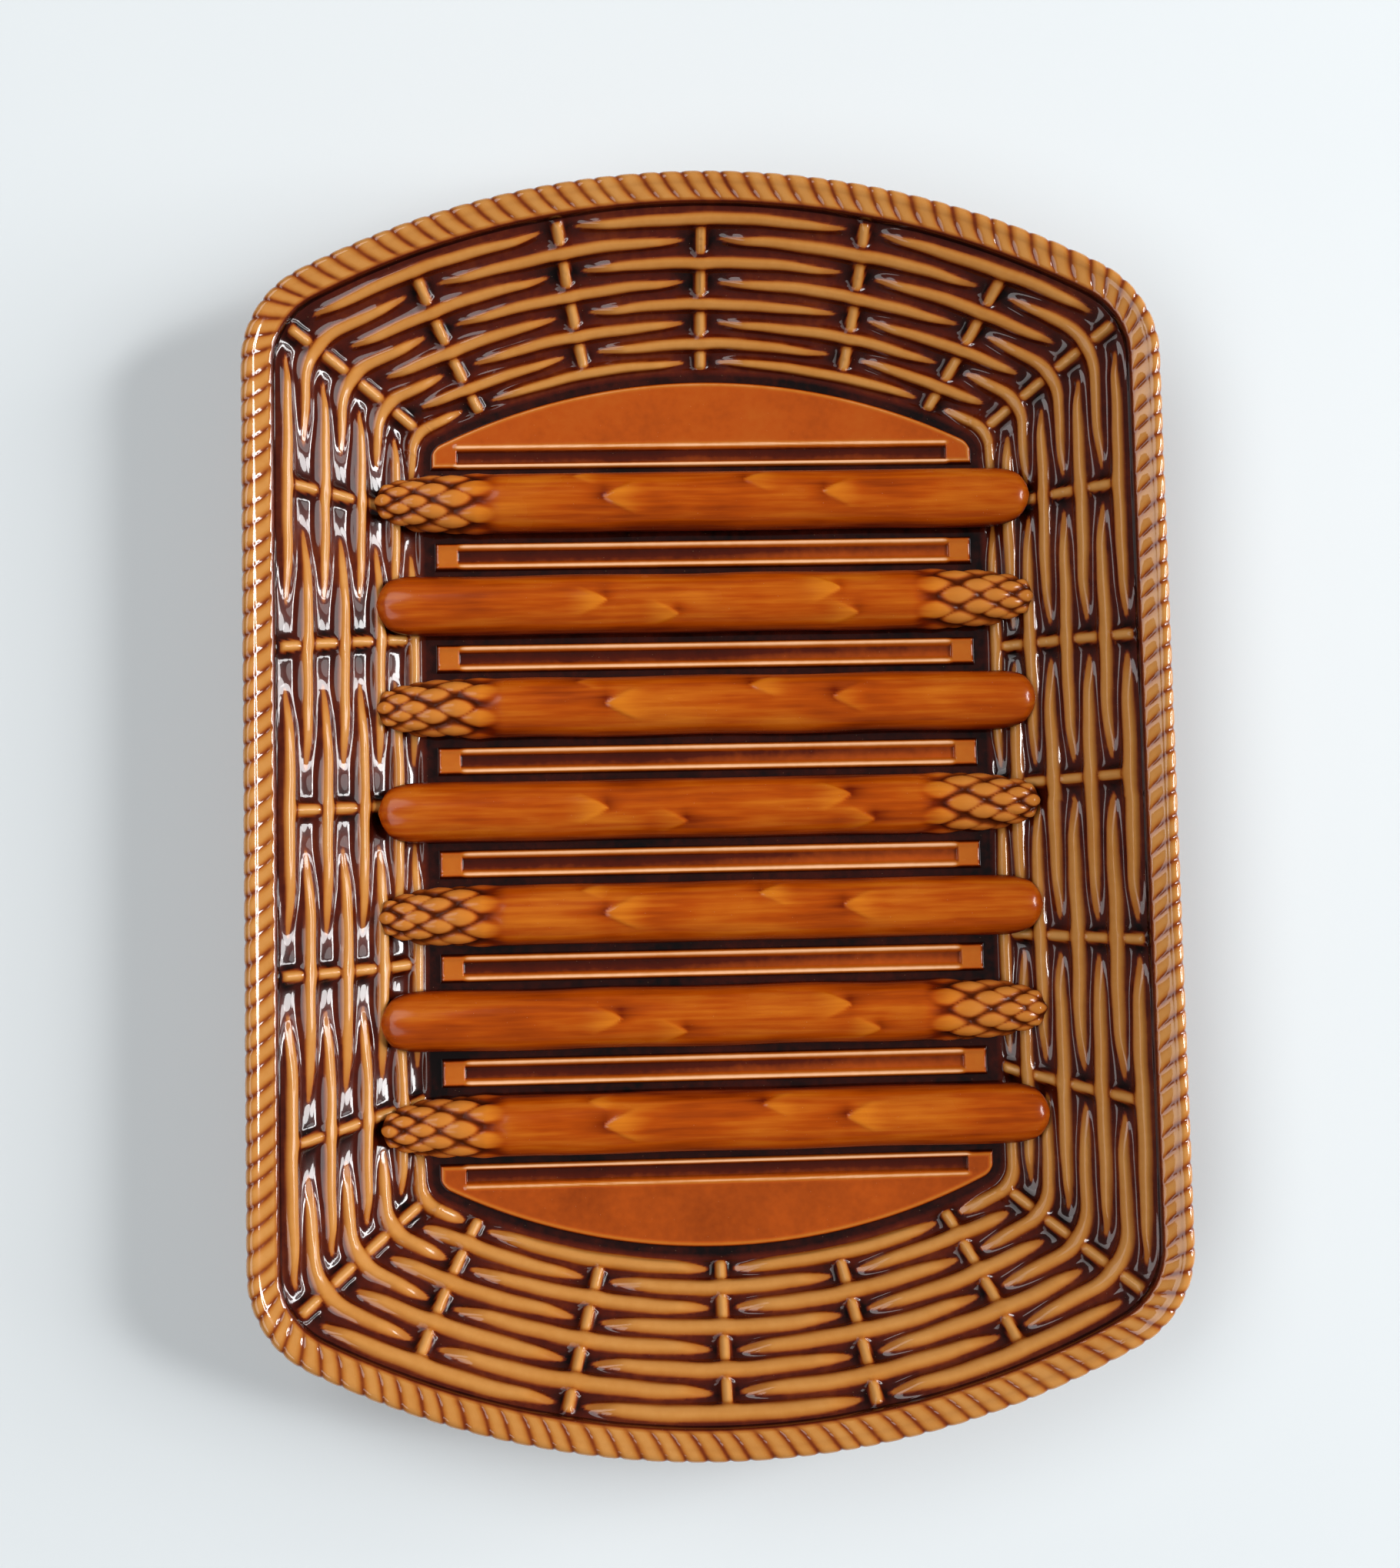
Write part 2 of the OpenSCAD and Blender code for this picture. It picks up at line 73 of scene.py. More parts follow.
# How far from the middle of a long side a place still counts in full as the side, or at all
SIDE_CORE = 0.8
SIDE_END = 1.6

# Depths down the wall that the strands and stakes keep within
WALL_SPAN = (0.002, 0.998)

# How a sine is spread out into steady pseudo-random numbers
WOBBLE_STEP = 12.9898
WOBBLE_SALT = 78.233
WOBBLE_SCALE = 43758.5453


class Slot(Enum):
    """The record's material slots."""

    DARK = "glaze_dark"
    CARAMEL = "glaze_caramel"
    RUSSET = "glaze_russet"
    BROWN = "glaze_brown"
    CLAY = "bare_clay"


class Mark(Enum):
    """What a piece's points carry for the glaze: how proud they stand, with some painted light and shade, and
    how near a tip.
    """

    RELIEF = "relief"
    TONE = "tone"


# Shapes that several sub-assemblies share


def smooth_step(low: float, high: float, value: Array) -> Array:
    """Rises smoothly from 0 at low to 1 at high.

    Args:
        low: Where the rise starts.
        high: Where the rise ends.
        value: The numbers to look up.

    Returns:
        The share of the rise at each number.
    """
    share = np.clip((value - low) / (high - low), 0.0, 1.0)
    return share * share * (3.0 - 2.0 * share)


def unit(vectors: Array) -> Array:
    """Vectors along the last axis, brought to length 1."""
    return vectors / np.linalg.norm(vectors, axis=-1, keepdims=True)


def wobble(number: Union[float, Array], salt: float) -> Array:
    """A steady hand's small error, between -1 and 1, that is the same in every run."""
    spread = np.sin(np.asarray(number, float) * WOBBLE_STEP + salt * WOBBLE_SALT) * WOBBLE_SCALE
    return 2.0 * (spread - np.floor(spread)) - 1.0


def shorter(away: Union[float, Array], lap: float) -> Union[float, Array]:
    """Distances along a closed lap, taken the shorter way round."""
    return (away + lap / 2) % lap - lap / 2


def sines(run: Array, parts: Sequence[Vector]) -> Array:
    """A sum of sines, each with a height, a turn for each unit of the run, and a start."""
    return sum(high * np.sin(run * often + start) for high, often, start in parts)


def eased(many: int) -> Array:
    """Steps from -1 to 1 that lie closer together towards both ends."""
    return np.sin(np.linspace(-1.0, 1.0, many) * math.pi / 2)


def with_base(marks: Array, mode: str = "constant") -> Array:
    """Marks of a patch, with two more in each ring for the base that closes it."""
    return np.pad(marks, ((0, 0), (0, 2)), mode=mode)


def quarter_round(radius: float) -> list[tuple[float, float]]:
    """A rounded edge, as drops below its top and distances in from its side."""
    turns = np.linspace(0.0, math.pi / 2, 5)
    return [(radius * (1.0 - math.cos(turn)), radius * (1.0 - math.sin(turn))) for turn in turns]


def mound(distance: Array, width: Union[float, Array], power: float = 2.0) -> Array:
    """Height of a mound that is 1 in its middle, with a flatter top for a higher power."""
    return np.exp(-((distance / width) ** power))


def round_rise(distance: Array, length: float) -> Array:
    """How high a rounded end stands, from 0 at its very end to 1 where its rounding stops."""
    share = np.clip(distance / length, 0.0, 1.0)
    return np.sqrt(1.0 - (1.0 - share) ** 2)


@dataclass(frozen=True)
class Outline:
    """A barrel-shaped outline: straight sides, curved ends and round corners."""

    half_width: float
    half_length: float
    end_radius: float
    corner_radius: float

    def inset(self, by: float) -> Outline:
        """The same outline, moved inwards."""
        return Outline(
            self.half_width - by, self.half_length - by, self.end_radius - by, self.corner_radius - by
        )

    @property
    def corner_start(self) -> float:
        """Height up the side at which the corner begins."""
        reach = (self.end_radius - self.corner_radius) ** 2 - (self.half_width - self.corner_radius) ** 2
        return self.half_length - self.end_radius + math.sqrt(reach)

    @property
    def end_angle(self) -> float:
        """Half the angle that the curved end spans."""
        return math.asin((self.half_width - self.corner_radius) / (self.end_radius - self.corner_radius))

    @property
    def corner_length(self) -> float:
        """Length of a corner's curve."""
        return self.corner_radius * (math.pi / 2 - self.end_angle)

    @property
    def quarter_length(self) -> float:
        """Length of a quarter of the outline."""
        return self.corner_start + self.corner_length + self.end_radius * self.end_angle

    def points(self, place: Array) -> Array:
        """Points of the outline.

        Args:
            place: Places 0 to 12 round the outline, three to a quarter, anticlockwise from the
                middle of the right-hand side.

        Returns:
            The points, two numbers each.
        """
        lap = np.mod(place, LAP)
        quarter = np.floor(lap / QUARTER)
        share = np.where(quarter % 2 == 0, lap - QUARTER * quarter, QUARTER * (quarter + 1.0) - lap)
        turn = (share - 1.0) * (math.pi / 2 - self.end_angle)
        swing = (QUARTER - share) * self.end_angle
        inner = self.half_width - self.corner_radius
        straight, before_end = share <= 1.0, share <= 2.0
        x = np.where(before_end, inner + self.corner_radius * np.cos(turn), self.end_radius * np.sin(swing))
        y = np.where(
            before_end,
            self.corner_start + self.corner_radius * np.sin(turn),
            self.half_length - self.end_radius + self.end_radius * np.cos(swing),
        )
        x = np.where(straight, self.half_width, x)
        y = np.where(straight, share * self.corner_start, y)
        left = (quarter == 1) | (quarter == 2)
        return np.stack([np.where(left, -x, x), np.where(quarter >= 2, -y, y)], axis=-1)

    def place_at(self, distance: Array) -> Array:
        """Places that lie at distances round the outline from the middle of the right side.

        Args:
            distance: The distances, which may go past a whole lap.

        Returns:
            The places.
        """
        quarter = np.floor(distance / self.quarter_length)
        along = distance - quarter * self.quarter_length
        even = np.mod(quarter, 2) == 0
        run = np.where(even, along, self.quarter_length - along)
        stops = [0.0, self.corner_start, self.corner_start + self.corner_length, self.quarter_length]
        share = np.interp(run, stops, [0.0, 1.0, 2.0, QUARTER])
        return np.where(even, QUARTER * quarter + share, QUARTER * (quarter + 1.0) - share)


def level_ring(outline: Outline, place: Array, z: float, scale: float = 1.0) -> Array:
    """Points of a level outline at places round it."""
    return np.column_stack([outline.points(place) * scale, np.full(len(place), z)])


@dataclass(frozen=True)
class PlateSizes:
    """The plate's sizes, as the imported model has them."""

    length: float = 380.0
    width: float = 275.0
    height: float = 42.0
    end_radius: float = 262.0
    corner_radius: float = 32.0
    clay: float = 5.0
    lip_thickness: float = 4.5
    lip_setback: float = 0.8
    side_run: float = 39.5
    end_run: float = 42.8
    well_end_radius: float = 190.0
    well_corner_radius: float = 9.0
    wall_hollow: float = 1.25
    foot_height: float = 3.5
    foot_width: float = 6.0
    foot_inset: float = 2.0
    foot_corner_radius: float = 14.0
    rope_width: float = 10.0
    rope_height: float = 5.5

    @property
    def lip_z(self) -> float:
        """Height of the lip that carries the rope."""
        return self.height - self.rope_height

    @property
    def floor_z(self) -> float:
        """Height of the well's floor."""
        return self.foot_height + self.clay

    @property
    def rim(self) -> Outline:
        """The rope's outer edge."""
        return Outline(self.width / 2, self.length / 2, self.end_radius, self.corner_radius)

    @property
    def wall_top(self) -> Outline:
        """The upper edge of the wall, at the rope's inner edge."""
        return self.rim.inset(self.rope_width)

    @property
    def well(self) -> Outline:
        """The edge of the well.

        Returns:
            The outline, with the well's own radii.
        """
        top = self.wall_top
        return Outline(
            top.half_width - self.side_run,
            top.half_length - self.end_run,
            self.well_end_radius,
            self.well_corner_radius,
        )


@dataclass(frozen=True)
class Wall:
    """The sloping wall's inner face, from the lip at depth 0 to the well at depth 1."""

    sizes: PlateSizes
    step: float = 0.004

    def height(self, depth: Array) -> Array:
        """Height of the wall at a depth."""
        rise = self.sizes.lip_z - self.sizes.floor_z
        return self.sizes.floor_z + rise * np.power(np.clip(1.0 - depth, 0.0, 1.0), self.sizes.wall_hollow)

    def point(self, place: Array, depth: Array) -> Array:
        """Points of the wall at places round the plate and depths down the wall.

        Args:
            place: Places round the plate.
            depth: Depths down the wall, which broadcast with the places.

        Returns:
            The points, three numbers each.
        """
        place, depth = np.broadcast_arrays(np.asarray(place, float), np.asarray(depth, float))
        share = depth[..., None]
        flat = (1.0 - share) * self.sizes.wall_top.points(place) + share * self.sizes.well.points(place)
        return np.concatenate([flat, self.height(depth)[..., None]], axis=-1)

    def down(self, place: Array, depth: Array) -> Array:
        """Directions down the wall."""
        depth = np.asarray(depth, float)
        above, below = np.maximum(depth - self.step, 0.0), np.minimum(depth + self.step, 1.0)
        return unit(self.point(place, below) - self.point(place, above))

    def along(self, place: Array, depth: Array) -> Array:
        """Directions round the wall, anticlockwise."""
        place = np.asarray(place, float)
        return unit(self.point(place + self.step, depth) - self.point(place - self.step, depth))

    def normal(self, place: Array, depth: Array) -> Array:
        """Directions straight off the wall."""
        return unit(np.cross(self.along(place, depth), self.down(place, depth)))

    def slope_length(self, place: Array) -> Array:
        """Length down the slope of the wall."""
        return np.linalg.norm(self.point(place, 1.0) - self.point(place, 0.0), axis=-1)

    def place_length(self, place: Array, depth: Array) -> Array:
        """How far along a row one unit of place reaches."""
        place = np.asarray(place, float)
        ahead = self.point(place + self.step, depth) - self.point(place - self.step, depth)
        return np.linalg.norm(ahead, axis=-1) / (2.0 * self.step)


class Mould:
    """Points, faces and marks gathered for one piece."""

    def __init__(self) -> None:
        """Starts an empty mould."""
        self.points: list[Array] = []
        self.faces: list[list[int]] = []
        self.marks: dict[Mark, list[Array]] = {}
        self.count = 0

    def loft(self, rings: Array, marks: Mapping[Mark, Array], looped: bool = False) -> None:
        """Adds a closed solid through rings of points.

        Args:
            rings: Points by ring and by place in the ring, three numbers each. Each ring is
                closed round.
            marks: One number for each point, by mark.
            looped: Whether the last ring joins the first. Otherwise both ends are capped.
        """
        many, size, _ = rings.shape
        index = np.arange(many * size).reshape(many, size)
        near = index if looped else index[:-1]
        far = np.roll(index, -1, axis=0) if looped else index[1:]
        quads = np.stack([near, np.roll(near, -1, axis=1), np.roll(far, -1, axis=1), far], axis=-1)
        quads = quads.reshape(-1, 4)
        points = rings.reshape(-1, 3)
        triangles = np.empty((0, 3), int)
        if not looped:
            start, end = many * size, many * size + 1
            points = np.vstack([points, rings[0].mean(axis=0), rings[-1].mean(axis=0)])
            first, last = index[0], index[-1]
            triangles = np.concatenate(
                [
                    np.stack([np.full(size, start), np.roll(first, -1), first], axis=-1),
                    np.stack([np.full(size, end), last, np.roll(last, -1)], axis=-1),
                ]
            )
        if self._volume(points, quads, triangles) < 0.0:
            quads, triangles = quads[:, ::-1], triangles[:, ::-1]
        self.points.append(points)
        self.faces.extend((quads + self.count).tolist())
        self.faces.extend((triangles + self.count).tolist())
        for mark, values in marks.items():
            flat = np.broadcast_to(values, (many, size)).reshape(-1)
            if not looped:
                flat = np.concatenate([flat, [flat[:size].mean(), flat[-size:].mean()]])
            self.marks.setdefault(mark, []).append(flat)
        self.count += len(points)

    @staticmethod
    def _volume(points: Array, quads: Array, triangles: Array) -> float:
        """Signed volume inside the faces, which is negative where they face inwards."""
        split = np.concatenate([quads[:, [0, 1, 2]], quads[:, [0, 2, 3]], triangles])
        corners = points[split]
        return float(np.einsum("ij,ij->i", corners[:, 0], np.cross(corners[:, 1], corners[:, 2])).sum())

    def cast(self, name: str, slot: Slot, finish: bpy.types.Material, nodes: Sequence[str]) -> None:
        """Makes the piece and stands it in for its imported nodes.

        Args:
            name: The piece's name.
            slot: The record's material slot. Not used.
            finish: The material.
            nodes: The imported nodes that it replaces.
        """
        mesh = bpy.data.meshes.new(name)
        mesh.from_pydata(np.concatenate(self.points) * MM, [], self.faces)
        for mark, values in self.marks.items():
            layer = mesh.attributes.new(mark.value, "FLOAT", "POINT")
            layer.data.foreach_set("value", np.concatenate(values).astype(np.float32))
        mesh.polygons.foreach_set("use_smooth", np.ones(len(mesh.polygons), bool))
        mesh.materials.append(finish)
        mesh.update()
        piece = bpy.data.objects.new(name, mesh)
        bpy.context.scene.collection.objects.link(piece)
        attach(piece, ROOT)
        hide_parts(*nodes)
        LOG.info("%s: %d points, %d faces", name, len(mesh.vertices), len(mesh.polygons))


# Finishes


def colour(code: str) -> Colour:
    """A colour for Blender's sockets, from its usual six hexadecimal digits."""
    parts = [int(code[k : k + 2], 16) / 255.0 for k in (0, 2, 4)]
    linear = [part / 12.92 if part <= 0.04045 else ((part + 0.055) / 1.055) ** 2.4 for part in parts]
    return (linear[0], linear[1], linear[2], 1.0)


def ramp_stops(*pairs: tuple[float, str]) -> Stops:
    """Stops of a colour ramp, from positions and six hexadecimal digits."""
    return tuple((position, colour(code)) for position, code in pairs)


class Signal:
    """A socket that carries one number over the surface, ready for arithmetic."""

    def __init__(self, tree: FinishTree, socket: bpy.types.NodeSocket) -> None:
        """Wraps a socket of a tree."""
        self.tree = tree
        self.socket = socket

    def _math(self, operation: str, first: SignalLike, second: SignalLike) -> Signal:
        """Adds one Math node."""
        node = self.tree.add("ShaderNodeMath", {"operation": operation}, {0: first, 1: second})
        return Signal(self.tree, node.outputs[0])

    def __add__(self, other: SignalLike) -> Signal:
        """Sum."""
        return self._math("ADD", self, other)

    __radd__ = __add__

    def __sub__(self, other: SignalLike) -> Signal:
        """Difference."""
        return self._math("SUBTRACT", self, other)

    def __rsub__(self, other: SignalLike) -> Signal:
        """Difference, taken from a number."""
        return self._math("SUBTRACT", other, self)

    def __mul__(self, other: SignalLike) -> Signal:
        """Product."""
        return self._math("MULTIPLY", self, other)

    __rmul__ = __mul__

    def between(self, low: float, high: float) -> Signal:
        """How far the signal is on its way from low to high, as a smooth share.

        Args:
            low: Where the share is 0.
            high: Where the share is 1.

        Returns:
            The share.
        """
        node = self.tree.add(
            "ShaderNodeMapRange",
            {"interpolation_type": "SMOOTHSTEP"},
            {"Value": self, "From Min": low, "From Max": high},
        )
        return Signal(self.tree, node.outputs[0])


SignalLike = Union[Signal, float]


class FinishTree:
    """The node tree of one finish."""

    def __init__(self, name: str) -> None:
        """Starts a material with an empty tree.

        Args:
            name: The material's name.
        """
        self.material = bpy.data.materials.new(name)
        self.material.use_nodes = True
        self.tree = self.material.node_tree
        self.tree.nodes.clear()

    def add(self, kind: str, settings: Settings, inputs: Inputs) -> bpy.types.Node:
        """Adds a node.

        Args:
            kind: Its type.
            settings: Its properties, set first. A ramp's stops go under "stops".
            inputs: Values, links or signals, by socket name or number.

        Returns:
            The node.
        """
        node = self.tree.nodes.new(kind)
        for name, value in settings.items():
            if name == "stops":
                self._set_stops(node.color_ramp, value)
            else:
                setattr(node, name, value)
        for name, value in inputs.items():
            socket = node.inputs[name]
            if isinstance(value, Signal):
                self.tree.links.new(value.socket, socket)
            elif isinstance(value, bpy.types.NodeSocket):
                self.tree.links.new(value, socket)
            else:
                socket.default_value = value
        return node

    @staticmethod
    def _set_stops(ramp: bpy.types.ColorRamp, stops: Stops) -> None:
        """Gives a ramp its stops.

        Args:
            ramp: The ramp.
            stops: Its stops, in order.
        """
        while len(ramp.elements) < len(stops):
            ramp.elements.new(1.0)
        for element, (position, tint) in zip(ramp.elements, stops):
            element.position = position
            element.color = tint

    def mark(self, mark: Mark) -> Signal:
        """A number that the piece's points carry."""
        node = self.add("ShaderNodeAttribute", {"attribute_name": mark.value}, {})
        return Signal(self, node.outputs["Fac"])

    def position(self, stretch: Vector = (1.0, 1.0, 1.0)) -> bpy.types.NodeSocket:
        """Position on the piece in metres, scaled along each axis."""
        place = self.add("ShaderNodeTexCoord", {}, {}).outputs["Object"]
        node = self.add("ShaderNodeVectorMath", {"operation": "MULTIPLY"}, {0: place, 1: stretch})
        return node.outputs[0]

    def noise(self, scale: float, detail: float = 2.0, stretch: Vector = (1.0, 1.0, 1.0)) -> Signal:
        """Cloudy noise from 0 to 1, with this many clouds to a metre."""
        inputs = {"Vector": self.position(stretch), "Scale": scale, "Detail": detail}
        return Signal(self, self.add("ShaderNodeTexNoise", {}, inputs).outputs["Fac"])

    def specks(self, scale: float, size: float) -> Signal:
        """Small round specks, 1 inside and 0 outside."""
        node = self.add("ShaderNodeTexVoronoi", {}, {"Vector": self.position(), "Scale": scale})
        return 1.0 - Signal(self, node.outputs["Distance"]).between(size * 0.6, size)

    def ramp(self, signal: Signal, stops: Stops) -> bpy.types.NodeSocket:
        """Colours picked along a ramp."""
        return self.add("ShaderNodeValToRGB", {"stops": stops}, {0: signal}).outputs["Color"]

    def mix(self, share: SignalLike, first: object, second: object) -> bpy.types.NodeSocket:
        """Two colours mixed."""
        inputs = {"Factor": share, 6: first, 7: second}
        return self.add("ShaderNodeMix", {"data_type": "RGBA"}, inputs).outputs[2]

    def bump(self, height: Signal, strength: float, distance: float) -> bpy.types.NodeSocket:
        """A normal bent by a height."""
        inputs = {"Height": height, "Strength": strength, "Distance": distance}
        return self.add("ShaderNodeBump", {}, inputs).outputs["Normal"]

    def close(self, inputs: Inputs) -> bpy.types.Material:
        """Ends the tree in a Principled shader and returns the material."""
        shader = self.add("ShaderNodeBsdfPrincipled", {}, inputs)
        self.add("ShaderNodeOutputMaterial", {}, {"Surface": shader.outputs[0]})
        return self.material


BASE_GLOSS = 0.1
BUMP_DISTANCE = 0.001
WICKER_STOPS = ramp_stops(
    (0.0, "100403"), (0.16, "4E1506"), (0.32, "7A320C"), (0.52, "A65E20"), (0.75, "B97834"), (1.0, "CC9250")
)
BAR_STOPS = ramp_stops((0.0, "120201"), (0.25, "4C1402"), (0.5, "B04C0C"), (0.75, "BE6C20"), (1.0, "F4BC90"))


@dataclass(frozen=True)
class Glaze:
    """A glossy glaze that breaks light over crests and pools dark in hollows, following its relief
    mark, which on the bars, panels and well floor also carries painted highlights and shade.
    """

    name: str
    stops: Stops
    cloud: float = 0.12
    cloud_scale: float = 45.0
    grain_scale: float = 420.0
    speck: Colour = colour("D9B98C")
    speck_scale: float = 520.0
    speck_size: float = 0.05
    speck_share: float = 0.35
    roughness: float = 0.16
    unevenness: float = 0.08
    coat_ior: float = 1.45
    coat_roughness: float = 0.035
    crest: Span = (0.55, 0.9)
    crest_thinness: float = 0.85
    thinning: float = 0.7
    skin_scale: float = 160.0
    peel: float = 0.05

    def material(self) -> bpy.types.Material:
        """Builds the finish.

        Returns:
            The material.
        """
        tree = FinishTree(self.name)
        clouds = tree.noise(self.cloud_scale, detail=3.0)
        grain = tree.noise(self.grain_scale)
        depth = tree.mark(Mark.RELIEF) + (clouds - 0.5) * (2.0 * self.cloud) + (grain - 0.5) * self.cloud
        specks = tree.specks(self.speck_scale, self.speck_size) * self.speck_share
        thin = tree.mark(Mark.RELIEF).between(*self.crest) * self.crest_thinness + tree.mark(Mark.TONE)
        return tree.close(
            {
                "Base Color": tree.mix(specks, tree.ramp(depth, self.stops), self.speck),
                "Roughness": self.roughness + clouds * self.unevenness,
                "Specular IOR Level": BASE_GLOSS,
                "Coat Weight": 1.0 - thin.between(0.0, 1.0) * self.thinning,
                "Coat IOR": self.coat_ior,
                "Coat Roughness": self.coat_roughness,
                "Normal": tree.bump(tree.noise(self.skin_scale, detail=1.0), self.peel, BUMP_DISTANCE),
            }
        )


@dataclass(frozen=True)
class SpearGlaze:
    """The russet glaze of the spears, streaked along the stalk and yellower at the head."""

    name: str = "russet spear glaze"
    stalk: Stops = ramp_stops((0.0, "2E0802"), (0.3, "6C1E02"), (0.62, "AA4604"), (1.0, "CE7418"))
    head: Stops = ramp_stops((0.0, "4A1A04"), (0.3, "78340C"), (0.6, "A8561C"), (0.95, "C67A30"))
    streak_scale: float = 520.0
    streak_stretch: Vector = (0.07, 1.0, 1.0)
    streak: float = 0.6
    cloud_scale: float = 60.0
    cloud_stretch: Vector = (0.5, 1.0, 1.0)
    cloud: float = 0.65
    head_cloud: float = 0.25
    edge_cloud: float = 0.3
    head_tone: Span = (0.0, 0.55)
    speck: Colour = colour("E3C79C")
    speck_scale: float = 480.0
    speck_size: float = 0.045
    speck_share: float = 0.4
    roughness: float = 0.2
    unevenness: float = 0.12
    coat: float = 0.4
    coated: Span = (0.3, 0.7)
    coat_roughness: float = 0.14
    skin_scale: float = 180.0
    skin_peel: float = 0.7
    streak_peel: float = 0.6
    peel: float = 0.12

    def material(self) -> bpy.types.Material:
        """Builds the finish.

        Returns:
            The material.
        """
        tree = FinishTree(self.name)
        streaks = tree.noise(self.streak_scale, detail=3.0, stretch=self.streak_stretch)
        clouds = tree.noise(self.cloud_scale, detail=3.0, stretch=self.cloud_stretch)
        relief = tree.mark(Mark.RELIEF)
        stalk = tree.ramp(relief + (streaks - 0.5) * self.streak + (clouds - 0.5) * self.cloud, self.stalk)
        head = tree.ramp(relief + (clouds - 0.5) * self.head_cloud, self.head)
        tone = tree.mark(Mark.TONE) + (clouds - 0.5) * self.edge_cloud
        tint = tree.mix(tone.between(*self.head_tone), stalk, head)
        specks = tree.specks(self.speck_scale, self.speck_size) * self.speck_share
        skin = streaks * self.streak_peel + tree.noise(self.skin_scale, detail=1.0) * self.skin_peel
        return tree.close(
            {
                "Base Color": tree.mix(specks, tint, self.speck),
                "Roughness": self.roughness + clouds * self.unevenness,
                "Specular IOR Level": BASE_GLOSS,
                "Coat Weight": relief.between(*self.coated) * self.coat,
                "Coat Roughness": self.coat_roughness,
                "Normal": tree.bump(skin, self.peel, BUMP_DISTANCE),
            }
        )


@dataclass(frozen=True)
class BareClay:
    """Unglazed fired clay, where the plate stands on its foot."""

    name: str = "bare fired clay"
    stops: Stops = ramp_stops((0.3, "B0855C"), (0.55, "CFA67C"), (0.8, "DDBE98"))
    cloud: float = 0.6
    cloud_scale: float = 90.0
    grit: float = 0.4
    grit_scale: float = 1400.0
    grit_peel: float = 0.35
    grit_depth: float = 0.0006
    roughness: float = 0.75
    unevenness: float = 0.2

    def material(self) -> bpy.types.Material:
        """Builds the finish.

        Returns:
            The material.
        """
        tree = FinishTree(self.name)
        clouds, grit = tree.noise(self.cloud_scale, detail=3.0), tree.noise(self.grit_scale)
        return tree.close(
            {
                "Base Color": tree.ramp(clouds * self.cloud + grit * self.grit, self.stops),
                "Roughness": self.roughness + grit * self.unevenness,
                "Normal": tree.bump(grit, self.grit_peel, self.grit_depth),
            }
        )


# Wicker


def headwards(place: float) -> float:
    """How far a place lies towards the head, from -1 in the foot's middle to 1 in the head's."""
    return math.sin(place * math.pi / HALF_LAP)


def belongs(place: float, middle: float) -> float:
    """How far a place belongs to the long side whose middle is at a place, from 0 to 1."""
    return float(1.0 - smooth_step(SIDE_CORE, SIDE_END, np.array(abs(shorter(place - middle, LAP)))))


@dataclass(frozen=True)
class RowLine:
    """The middle line of one row, measured along the wall."""

    depth: float
    places: Array
    run: Array

    @property
    def total(self) -> float:
        """Length once round."""
        return float(self.run[-1])

    def distance(self, place: Array) -> Array:
        """How far round a place lies."""
        lap = np.floor(np.asarray(place, float) / LAP)
        return lap * self.total + np.interp(place - LAP * lap, self.places, self.run)

    def place(self, distance: Array) -> Array:
        """The place that lies so far round."""
        lap = np.floor(distance / self.total)
        return LAP * lap + np.interp(distance - lap * self.total, self.run, self.places)


@dataclass(frozen=True)
class EndSize:
    """A size of a strand's end, with what its place round the plate adds to it.

    head is added at the plate's head and taken off at its foot, right and left are added on
    the long sides, left_head on the left side as head is, and corner at the corners' stakes.
    The size is at most a share of the gap from stake to stake.
    """

    base: float
    head: float = 0.0
    right: float = 0.0
    left: float = 0.0
    left_head: float = 0.0
    corner: float = 0.0
    most: float = math.inf

    def at(self, gap: float, place: float, corner: bool) -> float:
        """The size for a gap, at the stake that stands at a place."""
        head, right, left = headwards(place), belongs(place, RIGHT_SIDE), belongs(place, LEFT_SIDE)
        size = self.base + self.head * head + self.right * right + (self.left + self.left_head * head) * left
        return min(size + self.corner * corner, self.most * gap)


END_SIZES: Mapping[str, EndSize] = {
    "tip": EndSize(3.8, head=0.6, right=0.4, left=7.0, left_head=3.0, corner=2.0, most=0.34),
    "start": EndSize(2.0, right=0.5, left=8.0, most=0.25),
    "rise": EndSize(15.0, right=6.0, left=20.0, most=0.85),
    "bowl_depth": EndSize(0.6, right=-0.1, left=0.2),
    "bowl_middle": EndSize(5.0, right=1.0, left=4.0),
    "bowl_half": EndSize(10.0, right=2.0, left=6.0, most=0.5),
    "taper": EndSize(4.0, head=-0.8, right=-0.6, left=-1.6),
}


@dataclass(frozen=True)
class StrandEnd:
    """One end of a strand, where it dips behind a stake.

    Distances are from the stake: the end shows from tip on, climbs between start and rise,
    and lies in a bowl of a depth, a middle and a half length.
    """

    gap: float
    tip: float
    start: float
    rise: float
    bowl_depth: float
    bowl_middle: float
    bowl_half: float
    taper: float
    thinning: float = 0.64
    bluntness: float = 14.0

    @property
    def length(self) -> float:
        """Length from the strand's middle to the tip."""
        return self.gap - self.tip

    def climb(self, off: Array) -> Array:
        """How far the strand has come out, from 0 to 1, at distances from the stake."""
        return smooth_step(self.start, self.rise, off)

    def sunk(self, off: Array) -> Array:
        """Depth of the bowl at distances from the stake."""
        share = np.clip((off - self.bowl_middle) / self.bowl_half, -1.0, 1.0)
        return self.bowl_depth * np.cos(share * math.pi / 2) ** 2

    def fullness(self, off: Array) -> Array:
        """How much of its width the strand has, from 0 at its tip to 1 at its middle."""
        reach = np.clip((self.gap - off) / self.length, 0.0, 1.0)
        return (1.0 - self.thinning * reach**self.taper) * np.sqrt(1.0 - reach**self.bluntness)


